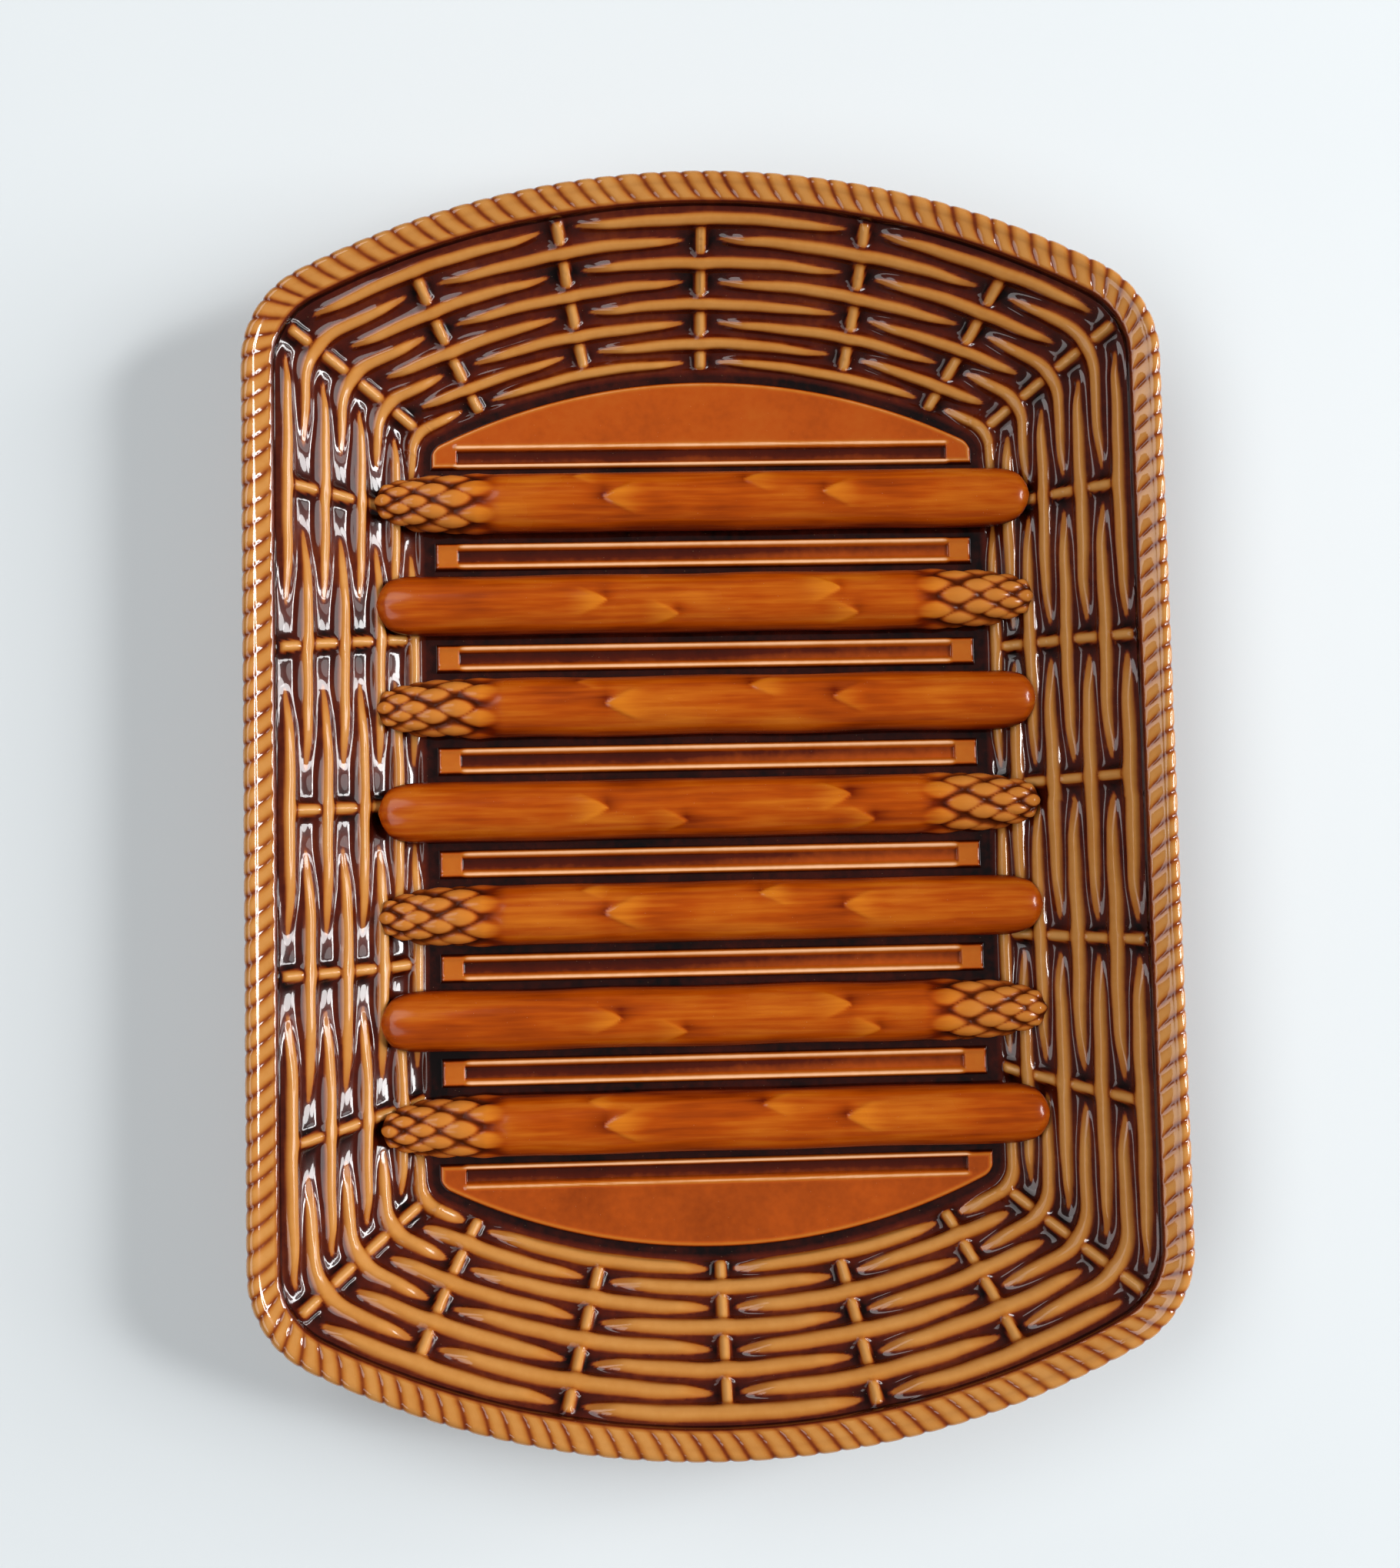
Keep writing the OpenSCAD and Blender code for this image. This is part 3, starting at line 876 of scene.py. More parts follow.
@dataclass(frozen=True)
class Strand:
    """One strand, which lies over its stake and dips behind the stakes on either side.

    Places along it are measured from its middle, and are negative on the half before it.
    """

    middle: float
    fatness: float
    before: StrandEnd
    after: StrandEnd

    def off(self, along: Array) -> Array:
        """Distances from the nearer stake behind which the strand dips."""
        return np.where(along < 0.0, self.before.gap + along, self.after.gap - along)

    def length(self, along: Array) -> Array:
        """Length of the half on which places lie."""
        return np.where(along < 0.0, self.before.length, self.after.length)

    def ends(self, along: Array, measure: Callable[[StrandEnd, Array], Array]) -> Array:
        """What one of the nearer end's measures says."""
        off = self.off(along)
        return np.where(along < 0.0, measure(self.before, off), measure(self.after, off))


@dataclass(frozen=True)
class StakeBit:
    """The bit of a stake that shows between the strands that cross it."""

    stake: int
    depth: float
    run: float
    half_length: float
    thinness: float


class Skin:
    """The wall's glazed skin at some points, while the strands and stakes are laid into it.

    Each point has its height off the wall, the glaze's relief mark, how deep the glaze pools
    at the stakes, and how thin it lies over a bead.
    """

    def __init__(self, place: Array, depth: Array, hollow: float) -> None:
        """Starts a skin that lies evenly in the clay.

        Args:
            place: Places round the plate.
            depth: Depths down the wall, which broadcast with the places.
            hollow: How deep the skin lies under the face of the wall.
        """
        place, depth = np.broadcast_arrays(np.asarray(place, float), np.asarray(depth, float))
        self.shape = place.shape
        self.place, self.depth = place.ravel(), depth.ravel()
        self.height = np.full(self.place.shape, -hollow)
        self.mark, self.pool, self.thin = (np.zeros_like(self.height) for _ in range(3))


@dataclass
class Wicker:
    """The woven wall: rows of strands over 24 stakes, all moulded in one skin of glaze."""

    wall: Wall
    glaze: bpy.types.Material
    rows: int = 8
    row_steps: int = 2401
    row_reach: float = 9.0
    # Strands: their form, the shades of their glaze and the patches that show them
    strand_width: float = 4.9
    strand_height: float = 2.1
    strand_spread: float = 2.4
    strand_grid: tuple[int, int] = (61, 17)
    strand_patch: float = 1.25
    strand_margin: float = 0.2
    strand_drop: float = 0.25
    end_spread: float = 0.3
    ridge_power: float = 2.9
    crest_power: float = 4.0
    crest_mark: float = 0.86
    end_shade: float = 0.26
    end_span: Span = (0.7, 0.96)
    tip_shade: float = 0.6
    tip_span: Span = (0.95, 1.0)
    unevenness: float = 0.05
    slimmer_head: float = 0.15
    slimmer_left: float = 0.08
    thinnest: float = 0.02
    waves: tuple[Vector, ...] = ((0.18, 0.13, 2.1), (0.07, 0.37, 4.7))
    # Stakes
    stake_width: float = 3.7
    stake_height: float = 1.75
    stake_grid: tuple[int, int] = (17, 13)
    stake_patch: float = 0.62
    stake_drop: float = 0.3
    stake_reach: float = 4.0
    joint_gap: float = 0.4
    # The clay between them, and the bowls and scoops in which glaze pools
    hollow: float = 0.3
    hollow_fade: float = 0.965
    bowl_width: float = 4.2
    bowl_power: float = 6.0
    scoop: float = 0.2
    scoop_width: float = 3.6
    pool_length: float = 7.0
    valley_mark: float = 0.17
    # How the pieces lie on the dish's own skin
    proud: float = 0.05
    end_drop: float = 0.2
    sink: float = 0.8
    # Where each stake stands at the rim and at the well
    rim_places: tuple[float, ...] = (
        0.05, 0.365, 0.715, 1.475, 2.205, 2.585, 3, 3.365, 3.745, 4.475, 5.26, 5.635,
        6, 6.365, 6.74, 7.6, 8.23, 8.61, 9, 9.365, 9.745, 10.4, 11.31, 11.675,
    )
    well_places: tuple[float, ...] = (
        0.05, 0.44, 0.84, 1.575, 2.155, 2.485, 3, 3.415, 3.82, 4.275, 5.16, 5.51,
        5.975, 6.415, 6.79, 7.525, 8.13, 8.585, 9, 9.415, 9.82, 10.325, 11.26, 11.635,
    )
    lines: dict[int, RowLine] = field(init=False, default_factory=dict)
    strands: dict[int, list[Strand]] = field(init=False, default_factory=dict)
    bits: dict[int, list[StakeBit]] = field(init=False, default_factory=dict)

    def __post_init__(self) -> None:
        """Measures every row along the wall, and finds what shows of the strands and stakes."""
        places = np.linspace(0.0, LAP, self.row_steps)
        for row in range(1, self.rows + 1):
            depth = (row - 0.5) / self.rows
            steps = np.linalg.norm(np.diff(self.wall.point(places, depth), axis=0), axis=-1)
            self.lines[row] = RowLine(depth, places, np.concatenate([[0.0], np.cumsum(steps)]))
            self.strands[row] = list(self._strands(row))
        self.bits = {stake: list(self._stake_bits(stake)) for stake in range(len(self.rim_places))}

    def stake_place(self, stake: int, depth: Array) -> Array:
        """The place of a stake at a depth, with laps before and after allowed."""
        lap, at = divmod(stake, len(self.rim_places))
        return LAP * lap + (1.0 - depth) * self.rim_places[at] + depth * self.well_places[at]

    def _strand_end(self, gap: float, place: float, stake: int) -> StrandEnd:
        """One end of a strand.

        Args:
            gap: How far the stake over which the strand lies is from the one behind which it dips.
            place: The place of the stake behind which it dips.
            stake: That stake's number.

        Returns:
            The end.
        """
        side = len(self.rim_places) // 4
        corner = stake % side == side // 2
        return StrandEnd(gap, **{name: size.at(gap, place, corner) for name, size in END_SIZES.items()})

    def _strands(self, row: int) -> Iterator[Strand]:
        """The strands of a row, in order round the plate.

        Args:
            row: The row's number, from 1 at the rim.

        Returns:
            The strands.
        """
        line = self.lines[row]
        for stake in range((row + 1) % 2, len(self.rim_places), 2):
            spots = [float(self.stake_place(stake + k, line.depth)) for k in (-1, 0, 1)]
            back, middle, ahead = (float(line.distance(np.array(spot))) for spot in spots)
            fatness = 1.0 + self.unevenness * float(wobble(middle, 1.0))
            fatness = fatness - self.slimmer_head * headwards(spots[1])
            yield Strand(
                middle=middle,
                fatness=fatness - self.slimmer_left * belongs(spots[1], LEFT_SIDE),
                before=self._strand_end(middle - back, spots[0], stake - 1),
                after=self._strand_end(ahead - middle, spots[2], stake + 1),
            )

    def _stake_bits(self, stake: int) -> Iterator[StakeBit]:
        """The bits that show of a stake.

        Args:
            stake: The stake's number.

        Returns:
            The bits, from the rim to the well.
        """
        top = self.wall.point(self.stake_place(stake, 0.0), 0.0)
        foot = self.wall.point(self.stake_place(stake, 1.0), 1.0)
        run = float(np.linalg.norm(foot - top))
        pitch = run / self.rows
        thinness = 1.0 - belongs(float(self.stake_place(stake, 0.5)), LEFT_SIDE)
        for row in range(1, self.rows + 1):
            if (stake + row) % 2 == 0:
                start = max(self.joint_gap, (row - 1.5) * pitch + self.strand_width / 2 - self.joint_gap)
                end = min(run - self.joint_gap, (row + 0.5) * pitch - self.strand_width / 2 + self.joint_gap)
                yield StakeBit(stake, (start + end) / 2 / run, run, (end - start) / 2, thinness)

    def drift(self, row: int, run: Array) -> Array:
        """How far a row's middle line wanders down the wall."""
        return sines(run, [(high, often, start * row) for high, often, start in self.waves])

    def half_width(self, strand: Strand, along: Array) -> Array:
        """Half the width of a strand's pale crest."""
        fullness = np.maximum(strand.ends(along, StrandEnd.fullness), self.thinnest)
        return self.strand_width / 2 * strand.fatness * fullness

    def relief(self, place: Array, depth: Array) -> tuple[Array, Array, Array]:
        """Relief of the glazed wall.

        Args:
            place: Places round the plate.
            depth: Depths down the wall, which broadcast with the places.

        Returns:
            Height off the wall, the glaze's relief mark and how thin the glaze lies over a
            bead, at every point.
        """
        skin = Skin(place, depth, self.hollow)
        self._lay_strands(skin)
        self._lay_stakes(skin)
        height = skin.height * (1.0 - smooth_step(self.hollow_fade, 1.0, skin.depth))
        mark = np.maximum(skin.mark, self.valley_mark * (1.0 - skin.pool))
        return height.reshape(skin.shape), mark.reshape(skin.shape), skin.thin.reshape(skin.shape)

    def _lay_strands(self, skin: Skin) -> None:
        """Lays the strands into a skin, with the bowls in which they dip.

        Args:
            skin: The skin, which this changes.
        """
        slope = self.wall.slope_length(skin.place)
        for row, line in self.lines.items():
            near = np.flatnonzero(np.abs(skin.depth - line.depth) * slope < self.row_reach)
            run = line.distance(skin.place[near])
            off = (skin.depth[near] - line.depth) * slope[near] - self.drift(row, np.mod(run, line.total))
            for strand in self.strands[row]:
                along = shorter(run - strand.middle, line.total)
                inside = (along >= -strand.before.gap) & (along < strand.after.gap)
                at, along, aside = near[inside], along[inside], np.abs(off[inside])
                away = np.clip(np.abs(along) / strand.length(along), 0.0, 1.0)
                climb, sunk = strand.ends(along, StrandEnd.climb), strand.ends(along, StrandEnd.sunk)
                spread = self.strand_spread * (1.0 - self.end_spread * away**2)
                hollow = mound(aside, self.scoop_width)
                skin.height[at] += self.strand_height * climb * mound(aside, spread, self.ridge_power)
                skin.height[at] -= self.scoop * (1.0 - climb) * hollow
                skin.height[at] -= sunk * mound(aside, self.bowl_width, self.bowl_power)
                crest = np.clip(1.0 - (aside / self.half_width(strand, along)) ** self.crest_power, 0.0, 1.0)
                shade = self.crest_mark - self.end_shade * smooth_step(*self.end_span, away)
                crest = crest * (shade - self.tip_shade * smooth_step(*self.tip_span, away))
                skin.mark[at] = np.maximum(skin.mark[at], crest)
                pool = hollow * mound(strand.off(along), self.pool_length)
                skin.pool[at] = np.maximum(skin.pool[at], pool)

    def _lay_stakes(self, skin: Skin) -> None:
        """Lays what shows of the stakes into a skin.

        Args:
            skin: The skin, which this changes.
        """
        length = self.wall.place_length(skin.place, skin.depth)
        for bit in chain.from_iterable(self.bits.values()):
            near = np.flatnonzero(np.abs(skin.depth - bit.depth) * bit.run < self.row_reach)
            away = shorter(skin.place[near] - self.stake_place(bit.stake, skin.depth[near]), LAP)
            aside = np.abs(away) * length[near] / (self.stake_width / 2)
            at, aside = near[aside < self.stake_reach], aside[aside < self.stake_reach]
            lengthwise = np.abs(skin.depth[at] - bit.depth) * bit.run / bit.half_length
            bead = np.exp(-((0.96 * lengthwise) ** 4) - (aside / 1.05) ** 2.3)
            skin.height[at] += self.stake_height * bead
            crest = np.clip(1.0 - lengthwise**6 - aside**3.2, 0.0, 1.0)
            skin.mark[at] = np.maximum(skin.mark[at], crest)
            thin = bit.thinness * np.exp(-((lengthwise / 1.3) ** 8) - (aside / 2.0) ** 6)
            skin.thin[at] = np.maximum(skin.thin[at], thin)

    def build(self) -> None:
        """Makes the rows and the stakes."""
        for row in range(1, self.rows + 1):
            self._build_row(row)
        side = len(self.rim_places) // 4
        corners = [side * k + side // 2 for k in range(4)]
        groups = {"stakes_corners": corners}
        for name, corner in zip(("head", "left", "foot", "right"), corners):
            groups[f"stakes_{name}"] = [(corner + k) % len(self.rim_places) for k in range(1, side)]
        for name, stakes in groups.items():
            self._build_stakes(name, stakes)

    def _add_patch(self, mould: Mould, place: Array, depth: Array, drop: Array) -> None:
        """Adds a closed patch of the glaze's surface to a mould.

        Args:
            mould: The mould.
            place: Places round the plate, by ring and across it.
            depth: Depths down the wall.
            drop: How much less than usual the patch stands proud of the wall's own skin.
        """
        height, mark, thin = self.relief(place, depth)
        normal = self.wall.normal(place, depth)
        top = self.wall.point(place, depth) + (height + (self.proud - drop))[..., None] * normal
        base = top[:, [-1, 0]] - self.sink * normal[:, [-1, 0]]
        marks = {Mark.RELIEF: with_base(mark), Mark.TONE: with_base(thin)}
        mould.loft(np.concatenate([top, base], axis=1), marks)

    def _build_row(self, row: int) -> None:
        """Makes one row of strands.

        Args:
            row: The row's number.
        """
        mould = Mould()
        line = self.lines[row]
        rings, many = self.strand_grid
        share = eased(rings)
        across = np.linspace(-1.0, 1.0, many)
        drop = self.end_drop * smooth_step(0.9, 1.0, np.abs(share))
        drop = self.strand_drop * np.abs(across)[None, :] ** 4 + drop[:, None]
        for strand in self.strands[row]:
            along = share * strand.length(share)
            run = strand.middle + along
            place = line.place(run)
            half = self.strand_patch * self.half_width(strand, along) + self.strand_margin
            off = half[:, None] * across[None, :] + self.drift(row, np.mod(run, line.total))[:, None]
            depth = np.clip(line.depth + off / self.wall.slope_length(place)[:, None], *WALL_SPAN)
            self._add_patch(mould, np.broadcast_to(place[:, None], depth.shape), depth, drop)
        name = f"wicker_row_{row}"
        mould.cast(f"{name}_strands", Slot.CARAMEL, self.glaze, [name])

    def _build_stakes(self, name: str, stakes: Sequence[int]) -> None:
        """Makes the bits of one group of stakes.

        Args:
            name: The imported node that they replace.
            stakes: The stakes' numbers.
        """
        mould = Mould()
        rings, many = self.stake_grid
        share = np.linspace(-1.0, 1.0, rings)
        across = np.linspace(-1.0, 1.0, many)
        drop = self.stake_drop * np.abs(across)[None, :] ** 4
        drop = drop + self.end_drop * np.abs(share)[:, None] ** 8
        for bit in chain.from_iterable(self.bits[stake] for stake in stakes):
            depth = np.clip(bit.depth + share * bit.half_length / bit.run, *WALL_SPAN)[:, None]
            middle = self.stake_place(bit.stake, depth)
            half = self.stake_patch * self.stake_width
            place = middle + half * across[None, :] / self.wall.place_length(middle, depth)
            self._add_patch(mould, place, np.broadcast_to(depth, place.shape), drop)
        mould.cast(f"{name}_bits", Slot.CARAMEL, self.glaze, [name])


# Dish body, foot and rope


@dataclass
class Dish:
    """The shell that carries everything: well, wall, lip and plain glazed back."""

    sizes: PlateSizes
    wall: Wall
    wicker: Wicker
    glaze: bpy.types.Material
    clay: bpy.types.Material
    pitch_round: float = 0.95
    wall_rings: int = 112
    under_rings: int = 24
    under_reach: float = 0.97
    well_step: float = 1.5
    lip_step: float = 3.0
    foot_points: int = 480
    edge_round: float = 1.6
    foot_round: float = 1.0
    foot_sink: float = 0.3
    well_scales: tuple[float, ...] = (0.1, 0.3, 0.5, 0.7, 0.85)
    back_scales: tuple[float, ...] = (0.9, 0.6, 0.3, 0.05)
    # The well's floor is near-black: partly the glaze pooled there, partly painted shade round the spears and
    # bars
    well_pool_and_shade_mark: float = 0.05
    well_edge_pool_and_shade_mark: float = 0.03
    lip_mark: float = 0.2
    back_edge_mark: float = 0.45
    back_mark: float = 0.5

    def build(self) -> None:
        """Makes the dish body and its foot ring."""
        self._build_body()
        self._build_foot()

    @staticmethod
    def _places(outline: Outline, many: int) -> Array:
        """Places round an outline at an even spacing."""
        return outline.place_at(np.arange(many) * 4.0 * outline.quarter_length / many)

    def _build_body(self) -> None:
        """Makes the dish body, ring by ring from the well's middle over the lip to the back's."""
        sizes, wall, well = self.sizes, self.wall, self.sizes.well
        top, lip = sizes.wall_top, sizes.rim.inset(sizes.lip_setback)
        place = self._places(top, int(round(4.0 * top.quarter_length / self.pitch_round)))
        rings: list[tuple[Array, Array, Array]] = []

        def ring(points: Array, shade: Union[float, Array], thin: Union[float, Array] = 0.0) -> None:
            """Adds a ring of points with its two marks."""
            rings.append((points, np.broadcast_to(shade, len(place)), np.broadcast_to(thin, len(place))))

        # Well floor: pooled glaze darkened further as painted shade between the spears and bars
        for scale in self.well_scales:
            ring(level_ring(well, place, sizes.floor_z, scale), self.well_pool_and_shade_mark)
        ring(level_ring(well.inset(self.well_step), place, sizes.floor_z), self.well_edge_pool_and_shade_mark)
        depth = np.linspace(1.0, 0.0, self.wall_rings)
        height, mark, thin = self.wicker.relief(place[:, None], depth[None, :])
        grid = wall.point(place[:, None], depth[None, :])
        grid = grid + height[..., None] * wall.normal(place[:, None], depth[None, :])
        for k in range(self.wall_rings):
            ring(grid[:, k], mark[:, k], thin[:, k])
        ring(level_ring(lip.inset(self.lip_step), place, sizes.lip_z), self.lip_mark)
        for drop, back in quarter_round(self.edge_round):
            ring(level_ring(lip.inset(back), place, sizes.lip_z - drop), self.back_mark)
        low = sizes.lip_z - sizes.lip_thickness
        for rise, back in reversed(quarter_round(self.edge_round)):
            ring(level_ring(lip.inset(back), place, low + rise), self.back_mark)
        for under in np.linspace(0.0, self.under_reach, self.under_rings):
            ring(wall.point(place, under) - sizes.clay * wall.normal(place, under), self.back_mark)
        back = well.inset(-sizes.clay / 2)
        ring(level_ring(back, place, sizes.foot_height), self.back_edge_mark)
        for scale in self.back_scales:
            ring(level_ring(back, place, sizes.foot_height, scale), self.back_mark)
        points, shades, thins = (np.stack(part) for part in zip(*rings))
        mould = Mould()
        mould.loft(points, {Mark.RELIEF: shades, Mark.TONE: thins})
        mould.cast("dish_shell", Slot.DARK, self.glaze, ["dish_body"])

    def _build_foot(self) -> None:
        """Makes the foot ring, with its edges rounded off."""
        sizes, well = self.sizes, self.sizes.well
        tread = Outline(
            well.half_width - sizes.foot_inset,
            well.half_length - sizes.foot_inset,
            sizes.well_end_radius,
            sizes.foot_corner_radius,
        )
        place = self._places(tread, self.foot_points)
        top = sizes.foot_height + self.foot_sink
        outer = [(back, rise) for rise, back in reversed(quarter_round(self.foot_round))]
        inner = [(sizes.foot_width - back, rise) for back, rise in reversed(outer)]
        section = [(0.0, top), *outer, *inner, (sizes.foot_width, top)]
        rings = np.stack([level_ring(tread.inset(back), place, z) for back, z in section], axis=1)
        mould = Mould()
        mould.loft(rings, {Mark.RELIEF: np.zeros(rings.shape[:2])}, looped=True)
        mould.cast("foot_ring_tread", Slot.CLAY, self.clay, ["foot_ring"])


@dataclass
class RopeRim:
    """The twisted rope round the rim, a half-round with grooves that lean across it."""

    sizes: PlateSizes
    glaze: bpy.types.Material
    twists: int = 184
    lean: float = 0.72
    bow: float = 0.9
    sway: tuple[Vector, ...] = ((0.4, 0.9, 0.0), (0.3, 2.3, 0.0))
    # Grooves between the twists
    groove: float = 0.3
    groove_width: float = 0.78
    groove_start: float = 1.5
    groove_end: Span = (7.6, 9.2)
    dip: float = 0.35
    dip_width: float = 1.5
    worn: float = 0.9
    worn_middle: float = 4.2
    # The glaze's dark lines and pale crest
    line_width: float = 1.6
    line_shade: float = 0.64
    line_end: Span = (7.6, 9.4)
    inner_shade: float = 0.75
    crest_mark: float = 0.86
    crest_rise: Span = (0.3, 3.4)
    crest_end: Span = (8.5, 9.3)
    # The section, inwards from the rim's edge and up from the lip, and the steps along a twist
    section: tuple[Span, ...] = (
        (0.0, 0.0), (0.0, 1.0), (0.05, 2.0), (0.25, 3.3), (0.65, 4.4), (1.2, 5.05), (1.9, 5.4),
        (2.6, 5.5), (3.1, 5.43), (3.5, 5.28), (3.9, 5.1), (4.2, 4.92), (4.5, 4.7), (4.8, 4.54),
        (5.2, 4.37), (5.8, 4.16), (6.6, 3.9), (7.4, 3.66), (8.2, 3.42), (8.9, 3.12), (9.3, 2.75),
        (9.55, 2.0), (9.7, 1.0), (9.8, 0.3), (9.9, -0.4), (2.0, -0.4),
    )
    beats: tuple[float, ...] = (
        0.0, 0.15, 0.28, 0.38, 0.43, 0.46, 0.48, 0.5, 0.52, 0.54, 0.57, 0.62, 0.72, 0.85,
    )

    def build(self) -> None:
        """Makes the rope."""
        rim = self.sizes.rim
        pitch = 4.0 * rim.quarter_length / self.twists
        lay = (np.arange(self.twists)[:, None] + np.array(self.beats)[None, :]).reshape(-1)
        offset, high = (np.array(part) for part in zip(*self.section))
        half = self.sizes.rope_width / 2
        distance = (lay * pitch + sines(lay, self.sway))[:, None] - self.lean * (offset - half)[None, :]
        distance = distance + self.bow * np.cos((offset - half) / half * math.pi / 2)[None, :]
        away = (np.abs(np.mod(lay, 1.0) - 0.5) * pitch)[:, None]
        flat = 1.0 - self.worn * mound(offset - self.worn_middle, self.dip_width, 4.0)
        depth = self.groove * flat * (1.0 - smooth_step(*self.groove_end, offset))
        valley = mound(away, self.groove_width) + self.dip * mound(away, self.dip_width)
        sunk = depth * (valley * smooth_step(0.0, self.groove_start, high))
        inwards = offset + sunk * np.clip((self.groove_start - offset) / self.groove_start, 0.0, 1.0)
        flats = self._inset_points(rim.place_at(distance), inwards)
        points = np.concatenate([flats, (self.sizes.lip_z + high - sunk)[..., None]], axis=-1)
        crest = self.crest_mark * smooth_step(*self.crest_rise, high)
        crest = crest * (1.0 - self.inner_shade * smooth_step(*self.crest_end, offset))
        line = mound(away, self.line_width * self.groove_width)
        line = line * (1.0 - self.inner_shade * smooth_step(*self.line_end, offset))
        mould = Mould()
        mould.loft(points, {Mark.RELIEF: crest * (1.0 - self.line_shade * line)}, looped=True)
        mould.cast("rope_rim_twists", Slot.CARAMEL, self.glaze, ["rope_rim"])

    def _inset_points(self, place: Array, offset: Array) -> Array:
        """Points of the rim's outline, moved inwards by a different amount at each.

        Args:
            place: Places round the rim.
            offset: How far inwards each point lies.

        Returns:
            The points, two numbers each.
        """
        rim = self.sizes.rim
        edge, inner = rim.points(place), rim.inset(self.sizes.rope_width).points(place)
        share = (offset / self.sizes.rope_width)[..., None]
        return edge * (1.0 - share) + inner * share


# Spears


@dataclass
class Spear:
    """One asparagus spear, tip towards +X unless it is turned."""

    sizes: PlateSizes
    wall: Wall
    number: int
    y: float
    width: float
    reach: float
    height: float = 12.5
    taper: float = 26.0
    tip_width: float = 4.2
    tip_round: float = 3.2
    nose: float = 3.2
    butt_taper: float = 13.0
    butt_width: float = 5.5
    butt_round: float = 4.5
    thinnest: float = 0.03
    spring: float = 0.3
    section_points: int = 49
    # Scales of the head: each row's distance from the tip, width and half length
    scale_reach: float = 35.0
    scale_relief: float = 1.8
    scale_seat: float = 0.68
    scale_edge: float = 6.0
    scale_fade: Span = (-6.0, 4.0)
    scale_half: float = 5.0
    scale_rows: tuple[Vector, ...] = (
        (2.6, 5.4, 4.4), (7.2, 5.6, 4.9), (11.8, 6.4, 5.6),
        (17.2, 7.4, 6.6), (23.8, 8.2, 7.4), (31.2, 8.8, 8.0),
    )
    # Bracts of the stalk: distance from the tip, place round the section, and size
    bract_relief: float = 0.45
    bract_length: float = 6.0
    bract_width: float = 3.6
    turned_bracts: tuple[Vector, ...] = (
        (68.0, 0.0, 1.0), (115.0, 5.2, 0.8), (139.0, 0.8, 0.9), (61.0, 7.5, 0.6),
    )
    other_bracts: tuple[Vector, ...] = (
        (60.0, 2.6, 0.9), (53.0, -5.0, 0.8), (108.0, -4.4, 0.8), (131.0, 0.0, 0.9),
    )
    shade_length: float = 10.0
    shade_width: float = 3.0
    dimple: float = 0.2
    sink: float = 0.5
    # The glaze's relief marks, with painted light on top of the section and painted shade down
    # its flanks, and where the head's tone starts to fade
    foot_mark: float = 0.16
    lit_crown_mark: float = 0.5
    bract_mark: float = 0.3
    shade_mark: float = 0.36
    scale_mark: float = 0.45
    scale_lit_crown_mark: float = 0.55
    head_start: float = 4.0

    @property
    def turned(self) -> bool:
        """Whether the tip points towards -X."""
        return self.number % 2 == 1

    @property
    def head_length(self) -> float:
        """Length from the tip to where the last scales have faded out."""
        return self.scale_reach + self.scale_edge

    def _bed(self, x: Array) -> Array:
        """Height of the clay under the spear."""
        out = (np.abs(x) - self.sizes.well.half_width) / self.sizes.side_run
        return np.where(out <= 0.0, self.sizes.floor_z, self.wall.height(1.0 - out))

    def _stations(self) -> Array:
        """Distances from the tip, closer together where the shape is busy.

        Returns:
            The distances, from the tip to the butt.
        """
        length = 2.0 * self.reach
        return np.concatenate(
            [
                np.array([0.0, 0.15, 0.4, 0.75, 1.15]),
                np.arange(1.6, self.head_length, 0.5),
                np.arange(self.head_length, 150.0, 0.8),
                np.arange(150.0, length - 14.5, 1.5),
                length - 14.0 * np.cos(np.linspace(0.0, math.pi / 2, 20)),
            ]
        )

    def _scales(self, from_tip: Array, arc: Array) -> tuple[Array, Array]:
        """Overlapping pointed scales of the head.

        Args:
            from_tip: Distances from the tip.
            arc: Distances round the section from its crown.

        Returns:
            How proud each point stands and how pale its glaze is, both from 0 to 1.
        """
        proud, pale = np.zeros(arc.shape), np.zeros(arc.shape)
        for row, (centre, width, half_length) in enumerate(self.scale_rows):
            column = arc / width - (0.5 * (row % 2) + 0.08 * float(wobble(self.number, row)))
            side = np.abs(column - np.round(column)) * 2.1
            nudge = 0.6 * wobble(np.round(column) + 7.0 * row, self.number)
            ahead = (centre + nudge - from_tip) / half_length
            length = np.abs(ahead) ** np.where(ahead > 0.0, 1.25, 1.8)
            edge = np.clip(1.0 - length - side**1.6, 0.0, 1.0)
            lift = np.clip((edge - 0.1) / 0.9, 0.0, 1.0) ** 0.6 * np.clip(0.85 + 0.15 * ahead, 0.0, 1.0)
            pale = np.where(lift > proud, smooth_step(0.16, 0.7, edge), pale)
            proud = np.maximum(lift, proud)
        return proud, pale

    def _bract_points(self) -> Iterator[Vector]:
        """The points of the stalk's bracts: from the tip, round the section, and size."""
        for start, side, size in self.turned_bracts if self.turned else self.other_bracts:
            yield start + 2.0 * float(wobble(self.number, start)), side, size

    def _bracts(self, from_tip: Array, arc: Array) -> Array:
        """The few pointed bracts along the stalk, as a proud height from 0 to 1.

        Args:
            from_tip: Distances from the tip.
            arc: Distances round the section from its crown.

        Returns:
            How proud each point stands.
        """
        lift = np.zeros(arc.shape)
        for start, side, size in self._bract_points():
            along = (from_tip - start) / (self.bract_length * size)
            half = self.bract_width * size * np.power(np.clip(along, 0.0, 1.6), 0.8)
            inside = smooth_step(-0.35, 0.9, half - np.abs(arc - side)) * smooth_step(-0.05, 0.14, along)
            lift = np.maximum(lift, inside * (1.0 - smooth_step(0.5, 2.6, along)) * size)
        return lift

